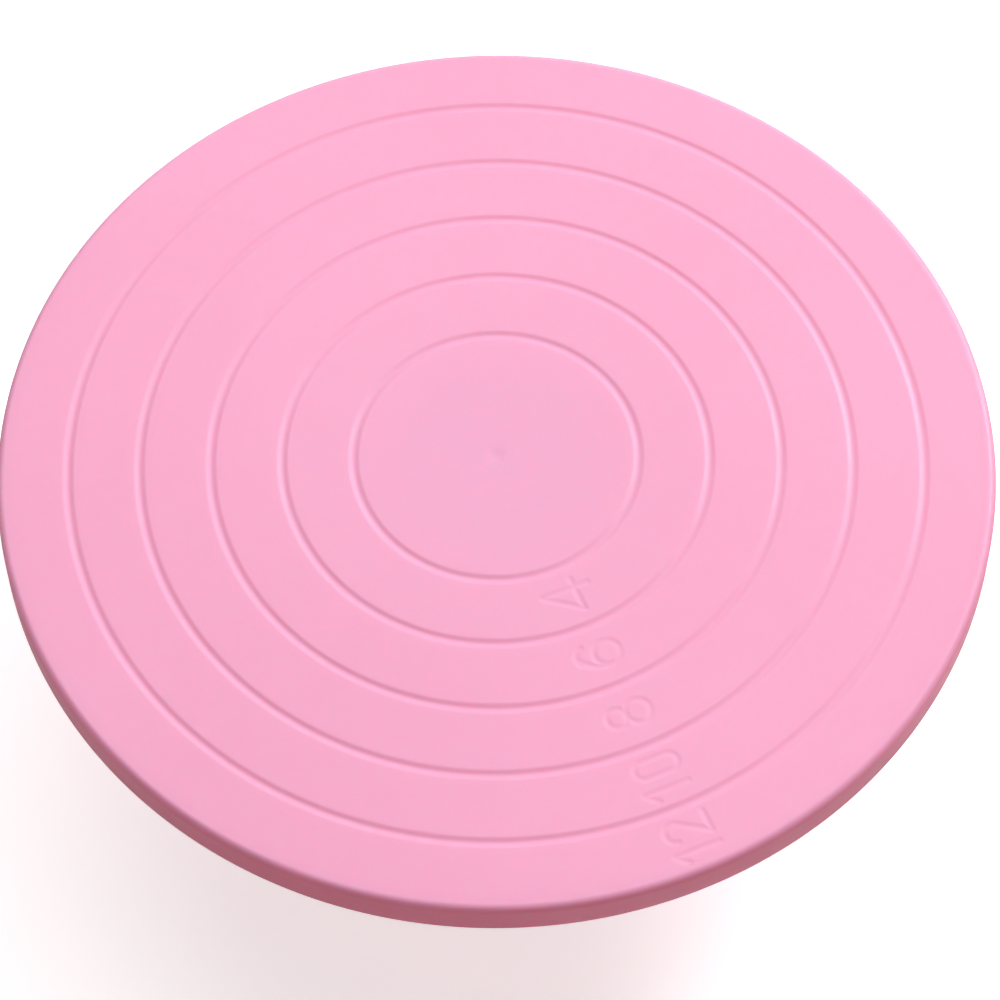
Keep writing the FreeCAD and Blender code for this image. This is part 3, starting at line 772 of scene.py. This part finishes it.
class PedestalSizes(bpy.types.PropertyGroup):
    """Sizes of the pedestal and its feet."""

    wall: length("Wall", "Thickness of the pedestal's wall", 2.0)
    neck_radius: length("Neck radius", "Outer radius of the neck", 26.4)
    flare_radius: length("Flare radius", "Radius of the concave flare", 28.0)
    flare_level: length("Flare level", "Height where the flare meets the neck", 35.0)
    skirt_round: length("Skirt rounding", "Rounding between flare and skirt", 3.0)
    deck_thickness: length("Deck thickness", "Thickness of the deck", 3.2)
    sleeve_outer: length("Sleeve radius", "Outer radius of the bush sleeve", 10.2)
    web_thickness: length("Web thickness", "Thickness of the four webs", 1.6)
    boss_radius: length("Boss radius", "Radius of the foot bosses", 8.2)
    boss_top: length("Boss top", "Height of the foot bosses", 7.6)
    pocket_depth: length("Pocket depth", "Depth of the pocket each foot sits in", 1.2)
    stem_radius: length("Stem radius", "Radius of a foot's stem", 2.0)


class BearingSizes(bpy.types.PropertyGroup):
    """Sizes of the bearing, the bush and the fixings."""

    ball_circle: length("Ball circle", "Radius of the circle the balls run on", 20.0)
    track_radius: length("Track radius", "Radius of the ball track", 2.04)
    race_inner: length("Race bore", "Inner radius of the races", 16.0)
    cage_inner: length("Cage bore", "Inner radius of the cage", 16.6)
    pocket_radius: length("Pocket radius", "Radius of a ball pocket", 2.1)
    bush_bore: length("Bush bore", "Inner radius of the bush", 6.06)
    bush_outer: length("Bush radius", "Outer radius of the bush", 8.0)
    bush_flange: length("Flange thickness", "Thickness of the bush flange", 1.2)
    keeper_bore: length("Keeper bore", "Inner radius of the wide washer", 2.15)
    spring_bore: length("Spring washer bore", "Inner radius of the split washer", 2.1)
    screw_radius: length("Screw radius", "Outer radius of the screw's thread", 2.0)
    screw_root: length("Thread root", "Radius at the bottom of the thread", 1.62)
    thread_pitch: length("Thread pitch", "Distance between thread turns", 0.7)
    head_height: length("Head height", "Height of the screw's head", 2.6)
    ball_count: IntProperty(name="Balls", description="Balls in the bearing", default=12)


class Finishes(bpy.types.PropertyGroup):
    """Colours and gloss of the materials."""

    plastic_tint: tint("Plastic", "Main pink of the mouldings", (0.92, 0.40, 0.60))
    plastic_deep_tint: tint("Plastic, deep", "Deeper pink in thick places", (0.90, 0.385, 0.58))
    # Greyer lilac round the axis: gate swirl and painted sheen.
    plastic_blush_and_sheen: tint("Gate blush", "Cloudy tint round the moulding gate", (0.80, 0.40, 0.62))
    # Deeper red pink painted on steep walls as shade.
    plastic_wall_shade: tint("Plastic, walls", "Richer pink of the upright walls", (0.86, 0.21, 0.325))
    plastic_roughness: number("Plastic roughness", "Roughness of the satin plastic", 0.44)
    rubber_tint: tint("Rubber", "Grey of the feet", (0.32, 0.30, 0.29))
    floor_tint: tint("Floor", "Pale table top", (0.80, 0.80, 0.80))


class StageSizes(bpy.types.PropertyGroup):
    """Camera and lights."""

    lens: number("Lens", "Focal length on a 36 mm frame", 146.551, "CAMERA")
    distance: length("Distance", "Camera's distance from the point it looks at", 567.006)
    elevation: angle("Elevation", "Camera's height angle", 59.5625)
    roll: angle("Roll", "Camera's roll", -0.6286)
    aim_depth: length("Aim depth", "How far in front of the spindle the camera looks", 7.3)
    aim_side: length("Aim side", "How far to the right of the spindle the camera looks", 0.46)
    key_power: number("Key light", "Power of the main softbox", 12.0, "POWER")
    side_power: number("Side light", "Power of the window light", 15.6, "POWER")
    fill_power: number("Fill light", "Power of the warm front fill", 1.7, "POWER")
    sky: number("Room light", "Strength of the even room light", 0.1)
    backdrop: number("Backdrop", "Brightness of the pale backdrop", 0.9)


# ---------------------------------------------------------------- operators

def foot_centre(index):
    """Centre of one foot in plan."""
    low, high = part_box(f"rubber_foot_{index + 1}")
    return ((low.x + high.x) / 2, (low.y + high.y) / 2)


class CAKE_OT_surface_effects(bpy.types.Operator):
    """Make the node groups that several materials share."""

    bl_idname = "cake_turntable.surface_effects"
    bl_label = "Shared surface effects"

    def execute(self, context):
        for make in (
            make_tool_grain, make_colour_drift, make_specks, make_floor_fade, make_gate_blush_and_sheen,
            make_painted_wall_shade, make_edge_wear, make_turning_lines, make_scuffs,
        ):
            make()
        return {"FINISHED"}


class CAKE_OT_turntable_plate(bpy.types.Operator):
    """Build the marked plate with its rim, collar, race seat, hub, boss and ribs."""

    bl_idname = "cake_turntable.turntable_plate"
    bl_label = "Turntable plate"

    def execute(self, context):
        plate = context.scene.cake_plate
        data = facing_out(self.turned_body(plate))
        data = combined(data, self.ribs(plate), "UNION")
        material = pink_plastic("Plate plastic", context.scene.cake_finishes, 1.0, 0.024)
        place_piece("cake_plate", data, "turntable_plate", "turntable", material)
        return {"FINISHED"}

    def turned_body(self, plate):
        """Closed skin from the top's centre out over the rim and back under to the screw hole."""
        skin = Skin()
        top = PLATE_HIGH.z
        skin.add_pole(top - self.dimple(0.0))
        for radius, angles in self.top_rings(plate):
            skin.add_ring(angles, radius, top - self.depth(plate, radius, angles))
        for radius, height in self.rim_and_underside(plate):
            skin.add(even_angles(self.segments(radius)), radius, height)
        return skin.mesh("plate_work")

    def segments(self, radius):
        """Divisions of a circle, fewer near the axis."""
        if radius > 60 * MM:
            return 360
        return 240 if radius > 15 * MM else 120

    def dimple(self, radius):
        """Depth of the gate mark at the centre."""
        reach = 1.6 * MM
        return 0.12 * MM * math.cos(min(radius / reach, 1.0) * math.pi / 2) ** 2

    def top_rings(self, plate):
        """Radii and azimuths of the rings of points on the top face, fine where it is marked."""
        radii = {}
        for radius in np.linspace(0.25, 1.75, 7) * MM:
            radii[round(float(radius), 7)] = ("even", 48)
        for radius in np.arange(4.0, 19.0, 3.0) * MM:
            radii[round(float(radius), 7)] = ("even", 120)
        for index in range(len(NUMERALS)):
            ring = plate.first_ring + plate.ring_step * index
            for offset in np.linspace(-1.15, 1.15, 15) * plate.ring_half_width:
                radii[round(float(ring + offset), 7)] = ("even", 360)
            middle = ring + plate.ring_step / 2
            for offset in np.arange(-3.7, 3.71, NUMERAL_STEP / MM) * MM:
                radii[round(float(middle + offset), 7)] = ("numeral", 72)
        edge = PLATE_HIGH.x - plate.rim_round
        for radius in (edge - 0.6 * MM, edge):
            radii[round(float(radius), 7)] = ("even", 360)
        for radius in sorted(radii):
            kind, count = radii[radius]
            angles = even_angles(count)
            if kind == "numeral":
                half = NUMERAL_HALF_HEIGHT / radius
                fine = plate.numeral_azimuth + np.arange(-half, half, NUMERAL_STEP / radius)
                away = np.abs((angles - plate.numeral_azimuth + math.pi) % FULL_TURN - math.pi)
                angles = np.sort(np.concatenate([angles[away > half * 1.02], fine % FULL_TURN]))
            yield radius, angles

    def depth(self, plate, radius, angles):
        """How far the top face is sunk at each point of a ring."""
        sunk = np.full(len(angles), self.dimple(radius))
        for index, strokes in enumerate(NUMERALS):
            ring = plate.first_ring + plate.ring_step * index
            offset = abs(radius - ring) / plate.ring_half_width
            if offset < 1.0:
                sunk = sunk + plate.ring_depth * 0.5 * (1 + math.cos(math.pi * offset))
            middle = ring + plate.ring_step / 2
            if abs(radius - middle) < NUMERAL_HALF_LENGTH:
                turned = angles - plate.numeral_azimuth
                inward = middle - radius * np.cos(turned)
                upward = -radius * np.sin(turned)
                away = stroke_distance(strokes, inward, upward)
                share = (plate.numeral_half_width + plate.numeral_ease / 2 - away) / plate.numeral_ease
                share = np.clip(share, 0.0, 1.0)
                sunk = np.maximum(sunk, plate.numeral_depth * share * share * (3 - 2 * share))
        return sunk

    def rim_and_underside(self, plate):
        """Outline from the rounded top edge down the rim and in under the plate."""
        outer = PLATE_HIGH.x
        top = PLATE_HIGH.z
        under = top - plate.skin
        rim_foot = top - plate.rim_height
        collar_outer = plate.collar_inner + plate.collar_wall
        collar_foot = top - plate.collar_drop
        seat_outer = UPPER_HIGH.x + 1.6 * MM
        seat_inner = 14.4 * MM
        rib_ring_inner, rib_ring_outer = 49.4 * MM, 50.6 * MM
        screw_hole, hole_end = 2.0 * MM, 45.2 * MM
        corner = 0.4 * MM
        centre = (outer - plate.rim_round, top - plate.rim_round)
        edge = arc_points(centre, plate.rim_round, math.pi / 2, 0, 9)
        corners = [
            (outer, centre[1] - corner, 0),
            (outer, rim_foot, 0.5 * MM),
            (outer - plate.rim_wall, rim_foot, 0.3 * MM),
            (outer - plate.rim_wall, under, 0.8 * MM),
            (rib_ring_outer, under, corner),
            (rib_ring_outer, under - plate.rib_height, 0.3 * MM),
            (rib_ring_inner, under - plate.rib_height, 0.3 * MM),
            (rib_ring_inner, under, corner),
            (collar_outer, under, corner),
            (collar_outer, collar_foot, corner),
            (plate.collar_inner, collar_foot, corner),
            (plate.collar_inner, under, corner),
            (seat_outer, under, corner),
            (seat_outer, UPPER_LOW.z, 0.2 * MM),
            (UPPER_HIGH.x, UPPER_LOW.z, 0.1 * MM),
            (UPPER_HIGH.x, UPPER_HIGH.z, 0.05 * MM),
            (RACE_SEAT_BORE, UPPER_HIGH.z, 0.05 * MM),
            (RACE_SEAT_BORE, UPPER_LOW.z, 0.1 * MM),
            (seat_inner, UPPER_LOW.z, 0.2 * MM),
            (seat_inner, under, corner),
            (plate.hub_radius, under, corner),
            (plate.hub_radius, plate.hub_level, 0.3 * MM),
            (plate.spindle_radius, plate.hub_level, 0.3 * MM),
            (plate.spindle_radius, PLATE_LOW.z, 0.3 * MM),
            (screw_hole, PLATE_LOW.z, 0.1 * MM),
            (screw_hole, hole_end, 0.1 * MM),
            (0.0, hole_end, 0),
        ]
        return edge[1:] + rounded(corners, closed=False, steps=4)

    def ribs(self, plate):
        """Radial ribs between the collar and the rim."""
        under = PLATE_HIGH.z - plate.skin
        inner = plate.collar_inner + plate.collar_wall / 2
        outer = PLATE_HIGH.x - plate.rim_wall / 2
        outline = [
            (inner, under - plate.rib_height),
            (outer, under - plate.rib_height),
            (outer, under + plate.skin / 2),
            (inner, under + plate.skin / 2),
        ]
        meshes = []
        for index in range(plate.rib_count):
            turn = index * FULL_TURN / plate.rib_count
            meshes.append(plate_mesh_from_outline("rib", outline, plate.rib_thickness / 2, turn))
        return meshes


class CAKE_OT_pedestal(bpy.types.Operator):
    """Build the flared pedestal with its deck, sleeve, webs and foot bosses."""

    bl_idname = "cake_turntable.pedestal"
    bl_label = "Pedestal"

    def execute(self, context):
        pedestal = context.scene.cake_pedestal
        shell = turned_mesh("pedestal_work", self.shell_outline(pedestal), 288)
        tools = []
        for index in range(4):
            turn = math.radians(45 + 90 * index)
            outline = self.web_outline(pedestal)
            web = plate_mesh_from_outline("web", outline, pedestal.web_thickness / 2, turn)
            boss = turned_mesh("boss", self.boss_outline(pedestal), 96, False, foot_centre(index))
            tools += [web, boss]
        data = combined(shell, tools, "UNION")
        material = pink_plastic("Pedestal plastic", context.scene.cake_finishes, 4.0, 0.02)
        place_piece("flared_pedestal", data, "pedestal_base", "base", material)
        return {"FINISHED"}

    def flare(self, pedestal, extra, steps):
        """Points down the flare and round the skirt, set in from the outside by extra."""
        outer = BASE_HIGH.x
        axis = pedestal.neck_radius + pedestal.flare_radius
        skirt_axis = outer - pedestal.skirt_round
        reach = pedestal.flare_radius + pedestal.skirt_round
        fall = math.sqrt(reach ** 2 - (axis - skirt_axis) ** 2)
        slope = math.atan2(-fall, skirt_axis - axis)
        centre = (axis, pedestal.flare_level)
        flare = arc_points(centre, pedestal.flare_radius + extra, -math.pi, slope, steps)
        skirt_centre = (skirt_axis, pedestal.flare_level - fall)
        skirt = arc_points(skirt_centre, pedestal.skirt_round - extra, slope + math.pi, 0, 8)
        return flare + skirt[1:]

    def shell_outline(self, pedestal):
        """Closed outline of the shell, deck and sleeve."""
        deck = BASE_HIGH.z
        under_deck = deck - pedestal.deck_thickness
        foot = BASE_LOW.z
        outer = BASE_HIGH.x
        inside = self.flare(pedestal, pedestal.wall, 28)
        neck = pedestal.neck_radius
        upper = [
            (SLEEVE_BORE, deck, 0.2 * MM),
            (RACE_SEAT_BORE, deck, 0.1 * MM),
            (RACE_SEAT_BORE, LOWER_LOW.z, 0.05 * MM),
            (LOWER_HIGH.x, LOWER_LOW.z, 0.05 * MM),
            (LOWER_HIGH.x, deck, 0.1 * MM),
            (neck, deck, 0.6 * MM),
        ]
        # The neck's lower end only steers the last rounding, so it is dropped afterwards.
        upper_points = rounded(upper + [(neck, pedestal.flare_level, 0)], closed=False, steps=4)[:-1]
        skirt = rounded(
            [(outer, foot + 2 * MM, 0), (outer, foot, 0.4 * MM), (outer - pedestal.wall, foot, 0.3 * MM),
             (outer - pedestal.wall, foot + 2 * MM, 0)],
            closed=False, steps=4,
        )
        lower = rounded(
            [(neck - pedestal.wall, pedestal.flare_level, 0),
             (neck - pedestal.wall, under_deck, 1.0 * MM),
             (pedestal.sleeve_outer, under_deck, 0.5 * MM),
             (pedestal.sleeve_outer, BUSH_LOW.z, 0.2 * MM),
             (SLEEVE_BORE, BUSH_LOW.z, 0.1 * MM),
             (SLEEVE_BORE, BUSH_LOW.z + 1 * MM, 0)],
            closed=False, steps=4,
        )
        return upper_points + self.flare(pedestal, 0.0, 32) + skirt + inside[::-1] + lower[1:]

    def web_outline(self, pedestal):
        """Outline of one web from the sleeve to the wall and down to its boss."""
        middle = pedestal.wall / 2
        under_deck = BASE_HIGH.z - pedestal.deck_thickness + 1 * MM
        inner = (SLEEVE_BORE + pedestal.sleeve_outer) / 2
        toe, heel, foot_level = 43.0 * MM, 31.0 * MM, 6.9 * MM
        curve = [point for point in self.flare(pedestal, middle, 28) if point[0] < toe]
        return (
            [(inner, under_deck), (pedestal.neck_radius - middle, under_deck)]
            + curve
            + [(toe, foot_level), (heel, foot_level), (inner, BUSH_LOW.z + 1 * MM)]
        )

    def boss_outline(self, pedestal):
        """Outline of one foot boss with its pocket and stem hole."""
        foot = BASE_LOW.z
        seat = foot + pedestal.pocket_depth
        pocket, hole_top = 6.0 * MM, 6.7 * MM
        return rounded([
            (0.0, pedestal.boss_top, 0),
            (pedestal.boss_radius, pedestal.boss_top, 0.4 * MM),
            (pedestal.boss_radius, foot, 0.1 * MM),
            (pocket, foot, 0.1 * MM),
            (pocket, seat, 0.1 * MM),
            (pedestal.stem_radius, seat, 0.1 * MM),
            (pedestal.stem_radius, hole_top, 0.1 * MM),
            (0.0, hole_top, 0),
        ], closed=False, steps=3)


class CAKE_OT_rubber_feet(bpy.types.Operator):
    """Build the four push-in rubber feet."""

    bl_idname = "cake_turntable.rubber_feet"
    bl_label = "Rubber feet"

    def execute(self, context):
        material = foot_rubber("Foot rubber", context.scene.cake_finishes)
        stem = context.scene.cake_pedestal.stem_radius
        seat = BASE_LOW.z + context.scene.cake_pedestal.pocket_depth
        for index in range(4):
            node = f"rubber_foot_{index + 1}"
            low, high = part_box(node)
            outline = self.outline(low.z, high.z, (high.x - low.x) / 2, seat, stem)
            data = turned_mesh(node, outline, 96, False, foot_centre(index))
            place_piece(f"foot_pad_{index + 1}", data, node, "base", material)
        return {"FINISHED"}

    def outline(self, foot, tip, radius, seat, stem):
        """Pad with two grip grooves underneath and a barbed stem above."""
        grip = 0.35 * MM
        barb = seat + 2.2 * MM
        return rounded([
            (0.0, tip, 0),
            (stem * 0.62, tip, 0.3 * MM),
            (stem, barb + 0.5 * MM, 0.15 * MM),
            (stem, barb, 0.1 * MM),
            (stem * 0.78, barb - 0.3 * MM, 0.1 * MM),
            (stem * 0.78, seat, 0.15 * MM),
            (radius, seat, 0.15 * MM),
            (radius, foot, 0.8 * MM),
            (radius * 0.72, foot, 0.1 * MM),
            (radius * 0.68, foot + grip, 0.1 * MM),
            (radius * 0.58, foot + grip, 0.1 * MM),
            (radius * 0.54, foot, 0.1 * MM),
            (radius * 0.36, foot, 0.1 * MM),
            (radius * 0.32, foot + grip, 0.1 * MM),
            (0.0, foot + grip, 0),
        ], closed=False, steps=4)


class CAKE_OT_bearing(bpy.types.Operator):
    """Build both races and the cage, and finish the balls."""

    bl_idname = "cake_turntable.bearing"
    bl_label = "Ball bearing"

    def execute(self, context):
        bearing = context.scene.cake_bearing
        race_steel = bearing_steel("Race steel", (0.60, 0.61, 0.62), 0.22, 0.00018)
        for name, node, body, face, back in (
            ("race_upper", "upper_race", "turntable", UPPER_LOW.z, UPPER_HIGH.z),
            ("race_lower", "lower_race", "base", LOWER_HIGH.z, LOWER_LOW.z),
        ):
            data = turned_mesh(node, self.race_outline(bearing, face, back), 240)
            place_piece(name, data, node, body, race_steel)
        nylon = natural_nylon("Natural nylon")
        place_piece("cage_ring", self.cage(bearing), "ball_cage", "ball_cage", nylon)
        polished = ball_steel("Ball steel")
        for number in range(1, bearing.ball_count + 1):
            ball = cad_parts[f"ball_{number:02d}"]
            ball.data.materials.clear()
            ball.data.materials.append(polished)
            for polygon in ball.data.polygons:
                polygon.use_smooth = True
        return {"FINISHED"}

    def race_outline(self, bearing, face, back):
        """Closed outline of a race, its track towards the balls."""
        side = 1 if face > back else -1
        gap = abs(BALL_LEVEL - face)
        half_angle = math.acos(gap / bearing.track_radius)
        middle = -math.pi / 2 * side
        track = arc_points(
            (bearing.ball_circle, BALL_LEVEL), bearing.track_radius,
            middle - half_angle * side, middle + half_angle * side, 16,
        )
        outer = rounded(
            [(bearing.ball_circle + 3 * MM, face, 0), (UPPER_HIGH.x, face, 0.25 * MM),
             (UPPER_HIGH.x, back, 0.25 * MM), (bearing.race_inner, back, 0.25 * MM),
             (bearing.race_inner, face, 0.25 * MM), (bearing.ball_circle - 3 * MM, face, 0)],
            closed=False, steps=4,
        )
        return outer + track

    def cage(self, bearing):
        """Spacer ring with a round pocket for each ball."""
        ring = turned_mesh("cage_work", rounded([
            (bearing.cage_inner, CAGE_HIGH.z, 0.2 * MM),
            (CAGE_HIGH.x, CAGE_HIGH.z, 0.2 * MM),
            (CAGE_HIGH.x, CAGE_LOW.z, 0.2 * MM),
            (bearing.cage_inner, CAGE_LOW.z, 0.2 * MM),
        ], steps=4), 240)
        pockets = []
        for index in range(bearing.ball_count):
            turn = index * FULL_TURN / bearing.ball_count
            centre = (bearing.ball_circle * math.cos(turn), bearing.ball_circle * math.sin(turn))
            outline = arc_points((0.0, BALL_LEVEL), bearing.pocket_radius, math.pi / 2, -math.pi / 2, 24)
            pockets.append(turned_mesh("pocket", outline, 48, False, centre))
        return combined(ring, pockets, "DIFFERENCE")


class CAKE_OT_spindle_parts(bpy.types.Operator):
    """Build the bush, both washers and the spindle screw."""

    bl_idname = "cake_turntable.spindle_parts"
    bl_label = "Bush, washers and screw"

    def execute(self, context):
        bearing = context.scene.cake_bearing
        nylon = natural_nylon("Bush nylon")
        plated = bearing_steel("Zinc plate", (0.66, 0.68, 0.70), 0.26, 0.00025)
        place_piece("bush_flanged", self.bush(bearing), "spindle_bush", "base", nylon)
        for name, node, data in (
            ("keeper_washer", "retaining_washer", self.keeper(bearing)),
            ("spring_washer", "lock_washer", self.spring_washer(bearing)),
            ("pan_screw", "spindle_screw", self.screw(bearing)),
        ):
            place_piece(name, data, node, "turntable", plated)
        return {"FINISHED"}

    def bush(self, bearing):
        """Flanged plain bush with eased edges."""
        shoulder = BUSH_HIGH.z - bearing.bush_flange
        return turned_mesh("bush", rounded([
            (bearing.bush_bore, BUSH_HIGH.z, 0.25 * MM),
            (BUSH_HIGH.x, BUSH_HIGH.z, 0.3 * MM),
            (BUSH_HIGH.x, shoulder, 0.2 * MM),
            (bearing.bush_outer, shoulder, 0.1 * MM),
            (bearing.bush_outer, BUSH_LOW.z, 0.3 * MM),
            (bearing.bush_bore, BUSH_LOW.z, 0.25 * MM),
        ], steps=4), 192)

    def keeper(self, bearing):
        """Punched washer: rolled edge on one side, crisp on the other."""
        return turned_mesh("keeper", rounded([
            (bearing.keeper_bore, KEEPER_HIGH.z, 0.08 * MM),
            (KEEPER_HIGH.x, KEEPER_HIGH.z, 0.08 * MM),
            (KEEPER_HIGH.x, KEEPER_LOW.z, 0.35 * MM),
            (bearing.keeper_bore, KEEPER_LOW.z, 0.2 * MM),
        ], steps=4), 192)

    def spring_washer(self, bearing):
        """Split ring of square wire, cut on a slant and pressed almost flat."""
        outer = SPRING_HIGH.y
        inner = bearing.spring_bore
        low, high = SPRING_LOW.z, SPRING_HIGH.z
        section = rounded([
            (inner, high, 0.1 * MM), (outer, high, 0.12 * MM),
            (outer, low, 0.12 * MM), (inner, low, 0.1 * MM),
        ], steps=3)
        gap = math.radians(13)
        lean = math.radians(9)
        steps = 120
        points, faces = [], []
        size = len(section)
        for step in range(steps + 1):
            for radius, height in section:
                slant = lean * ((height - low) / (high - low) - 0.5)
                angle = gap + (FULL_TURN - 2 * gap) * step / steps + slant
                points.append((radius * math.cos(angle), radius * math.sin(angle), height))
        for step in range(steps):
            for index in range(size):
                following = (index + 1) % size
                here, ahead = step * size, (step + 1) * size
                faces.append([here + index, here + following, ahead + following, ahead + index])
        faces.append(list(range(size)))
        faces.append([steps * size + index for index in reversed(range(size))])
        data = bpy.data.meshes.new("spring_washer_work")
        data.from_pydata(points, [], faces)
        return facing_out(data)

    def screw(self, bearing):
        """Pan head with a tapered cross recess, and a rolled thread above it."""
        head = SCREW_HIGH.x
        shoulder = SCREW_LOW.z + bearing.head_height
        skin = Skin()
        angles = even_angles(72)
        dome = rounded([
            (0.0, SCREW_LOW.z, 0),
            (head - 0.2 * MM, SCREW_LOW.z, 1.3 * MM),
            (head, shoulder, 0.25 * MM),
            (bearing.screw_radius * 0.95, shoulder, 0.1 * MM),
            (bearing.screw_radius * 0.95, shoulder + 0.5 * MM, 0),
        ], closed=False, steps=6)
        skin.add_pole(SCREW_LOW.z)
        for radius, height in dome[1:]:
            skin.add_ring(angles, radius, height)
        run_in = 0.8 * MM
        start = shoulder + 0.6 * MM
        for height in np.arange(start, SCREW_HIGH.z - 0.02 * MM, bearing.thread_pitch / 10):
            turn = (height - start) / bearing.thread_pitch - angles / FULL_TURN
            ridge = 1.0 - np.abs((turn % 1.0) * 2.0 - 1.0)
            ridge = np.clip(ridge * 1.35 - 0.1, 0.0, 1.0)
            ease = min(1.0, (height - start) / run_in, (SCREW_HIGH.z - height) / run_in)
            depth = bearing.screw_radius - bearing.screw_root
            taper = max(0.0, height - (SCREW_HIGH.z - 0.6 * MM))
            crest = bearing.screw_root + depth * ridge * max(ease, 0.0) - taper * 0.5
            skin.add_ring(angles, crest, height)
        skin.add_pole(SCREW_HIGH.z)
        cutters = [self.recess_blade(turn) for turn in (0.0, math.pi / 2)]
        return combined(facing_out(skin.mesh("screw_work")), cutters, "DIFFERENCE")

    def recess_blade(self, turn):
        """One tapered blade of the cross recess."""
        mouth, floor = 2.2 * MM, 0.7 * MM
        low, deep = SCREW_LOW.z - 0.3 * MM, SCREW_LOW.z + 1.7 * MM
        outline = [(-mouth, low), (mouth, low), (mouth * 0.9, SCREW_LOW.z + 0.3 * MM), (floor, deep),
                   (-floor, deep), (-mouth * 0.9, SCREW_LOW.z + 0.3 * MM)]
        return plate_mesh_from_outline("blade", outline, 0.5 * MM, turn + math.radians(20))


class CAKE_OT_stage(bpy.types.Operator):
    """Lay the pale floor and set the camera and the studio lights."""

    bl_idname = "cake_turntable.stage"
    bl_label = "Floor, camera and lights"

    def execute(self, context):
        stage = context.scene.cake_stage
        self.lay_floor(context)
        self.set_camera(context, stage)
        for light, power in zip(LIGHTS, (stage.key_power, stage.side_power, stage.fill_power)):
            self.area_light(*light, power)
        self.set_world(context, stage)
        context.scene.view_settings.view_transform = "Standard"
        return {"FINISHED"}

    def lay_floor(self, context):
        """Large round table top under the feet."""
        skin = Skin()
        for radius in (0.0, *FLOOR_RINGS):
            skin.add(even_angles(96), radius, FLOOR_LEVEL)
        data = skin.mesh("table_top")
        data.materials.append(floor_paint("Table paint", context.scene.cake_finishes))
        item = add_object("table_top", data)

    def set_camera(self, context, stage):
        """Camera above the front, looking down at the plate."""
        data = bpy.data.cameras.new("camera")
        data.lens = stage.lens
        data.sensor_width = 36.0
        data.clip_start = 0.01
        camera = add_object("camera", data)
        back = Vector((0.0, -math.cos(stage.elevation), math.sin(stage.elevation)))
        aim = Vector((stage.aim_side, -stage.aim_depth, PLATE_HIGH.z))
        upright = Matrix.Rotation(math.pi / 2 - stage.elevation, 4, "X")
        rolled = upright @ Matrix.Rotation(stage.roll, 4, "Z")
        camera.matrix_world = Matrix.Translation(aim + back * stage.distance) @ rolled
        context.scene.camera = camera

    def area_light(self, name, place, size, colour, power):
        """Square softbox turned to face the turntable."""
        data = bpy.data.lights.new(name, "AREA")
        data.energy = power
        data.size = size
        data.color = colour
        light = add_object(name, data)
        light.location = place
        facing = Vector((0.0, 0.0, PLATE_HIGH.z)) - Vector(place)
        light.rotation_euler = facing.to_track_quat("-Z", "Y").to_euler()

    def set_world(self, context, stage):
        """Even pale room light."""
        world = bpy.data.worlds.new("room")
        world.use_nodes = True
        tree = world.node_tree
        room = next(node for node in tree.nodes if node.type == "BACKGROUND")
        room.inputs["Color"].default_value = (*ROOM_TINT, 1.0)
        room.inputs["Strength"].default_value = stage.sky
        backdrop = add_node(
            tree, "ShaderNodeBackground", {"Color": (1.0, 1.0, 1.0, 1.0), "Strength": stage.backdrop},
        )
        ray = tree.nodes.new("ShaderNodeLightPath")
        mix = tree.nodes.new("ShaderNodeMixShader")
        output = next(node for node in tree.nodes if node.type == "OUTPUT_WORLD")
        tree.links.new(ray.outputs["Is Camera Ray"], mix.inputs[0])
        tree.links.new(room.outputs[0], mix.inputs[1])
        tree.links.new(backdrop.outputs[0], mix.inputs[2])
        tree.links.new(mix.outputs[0], output.inputs["Surface"])
        context.scene.world = world


class CAKE_PT_turntable(bpy.types.Panel):
    """Lists the steps and their sizes."""

    bl_idname = "CAKE_PT_turntable"
    bl_label = "Cake Turntable"
    bl_space_type = "VIEW_3D"
    bl_region_type = "UI"
    bl_category = "Cake Turntable"

    def draw(self, context):
        column = self.layout.column()
        for operator in OPERATORS:
            column.operator(operator.bl_idname)
        for attribute in SETTINGS:
            box = self.layout.box()
            settings = getattr(context.scene, attribute)
            for key in settings.bl_rna.properties.keys():
                if key not in {"rna_type", "name"}:
                    box.prop(settings, key)


SETTINGS = {
    "cake_plate": PlateSizes,
    "cake_pedestal": PedestalSizes,
    "cake_bearing": BearingSizes,
    "cake_finishes": Finishes,
    "cake_stage": StageSizes,
}
OPERATORS = (
    CAKE_OT_surface_effects,
    CAKE_OT_turntable_plate,
    CAKE_OT_pedestal,
    CAKE_OT_rubber_feet,
    CAKE_OT_bearing,
    CAKE_OT_spindle_parts,
    CAKE_OT_stage,
)


def register():
    """Register the settings, the operators and the panel."""
    for item in (*SETTINGS.values(), *OPERATORS, CAKE_PT_turntable):
        bpy.utils.register_class(item)
    for attribute, group in SETTINGS.items():
        setattr(bpy.types.Scene, attribute, PointerProperty(type=group))


def unregister():
    """Remove everything that register added."""
    for attribute in SETTINGS:
        delattr(bpy.types.Scene, attribute)
    for item in reversed((*SETTINGS.values(), *OPERATORS, CAKE_PT_turntable)):
        bpy.utils.unregister_class(item)


def main():
    """Build every piece and the stage."""
    register()
    for operator in OPERATORS:
        name = operator.bl_idname.split(".")[1]
        getattr(bpy.ops.cake_turntable, name)()


if __name__ == "__main__":
    main()
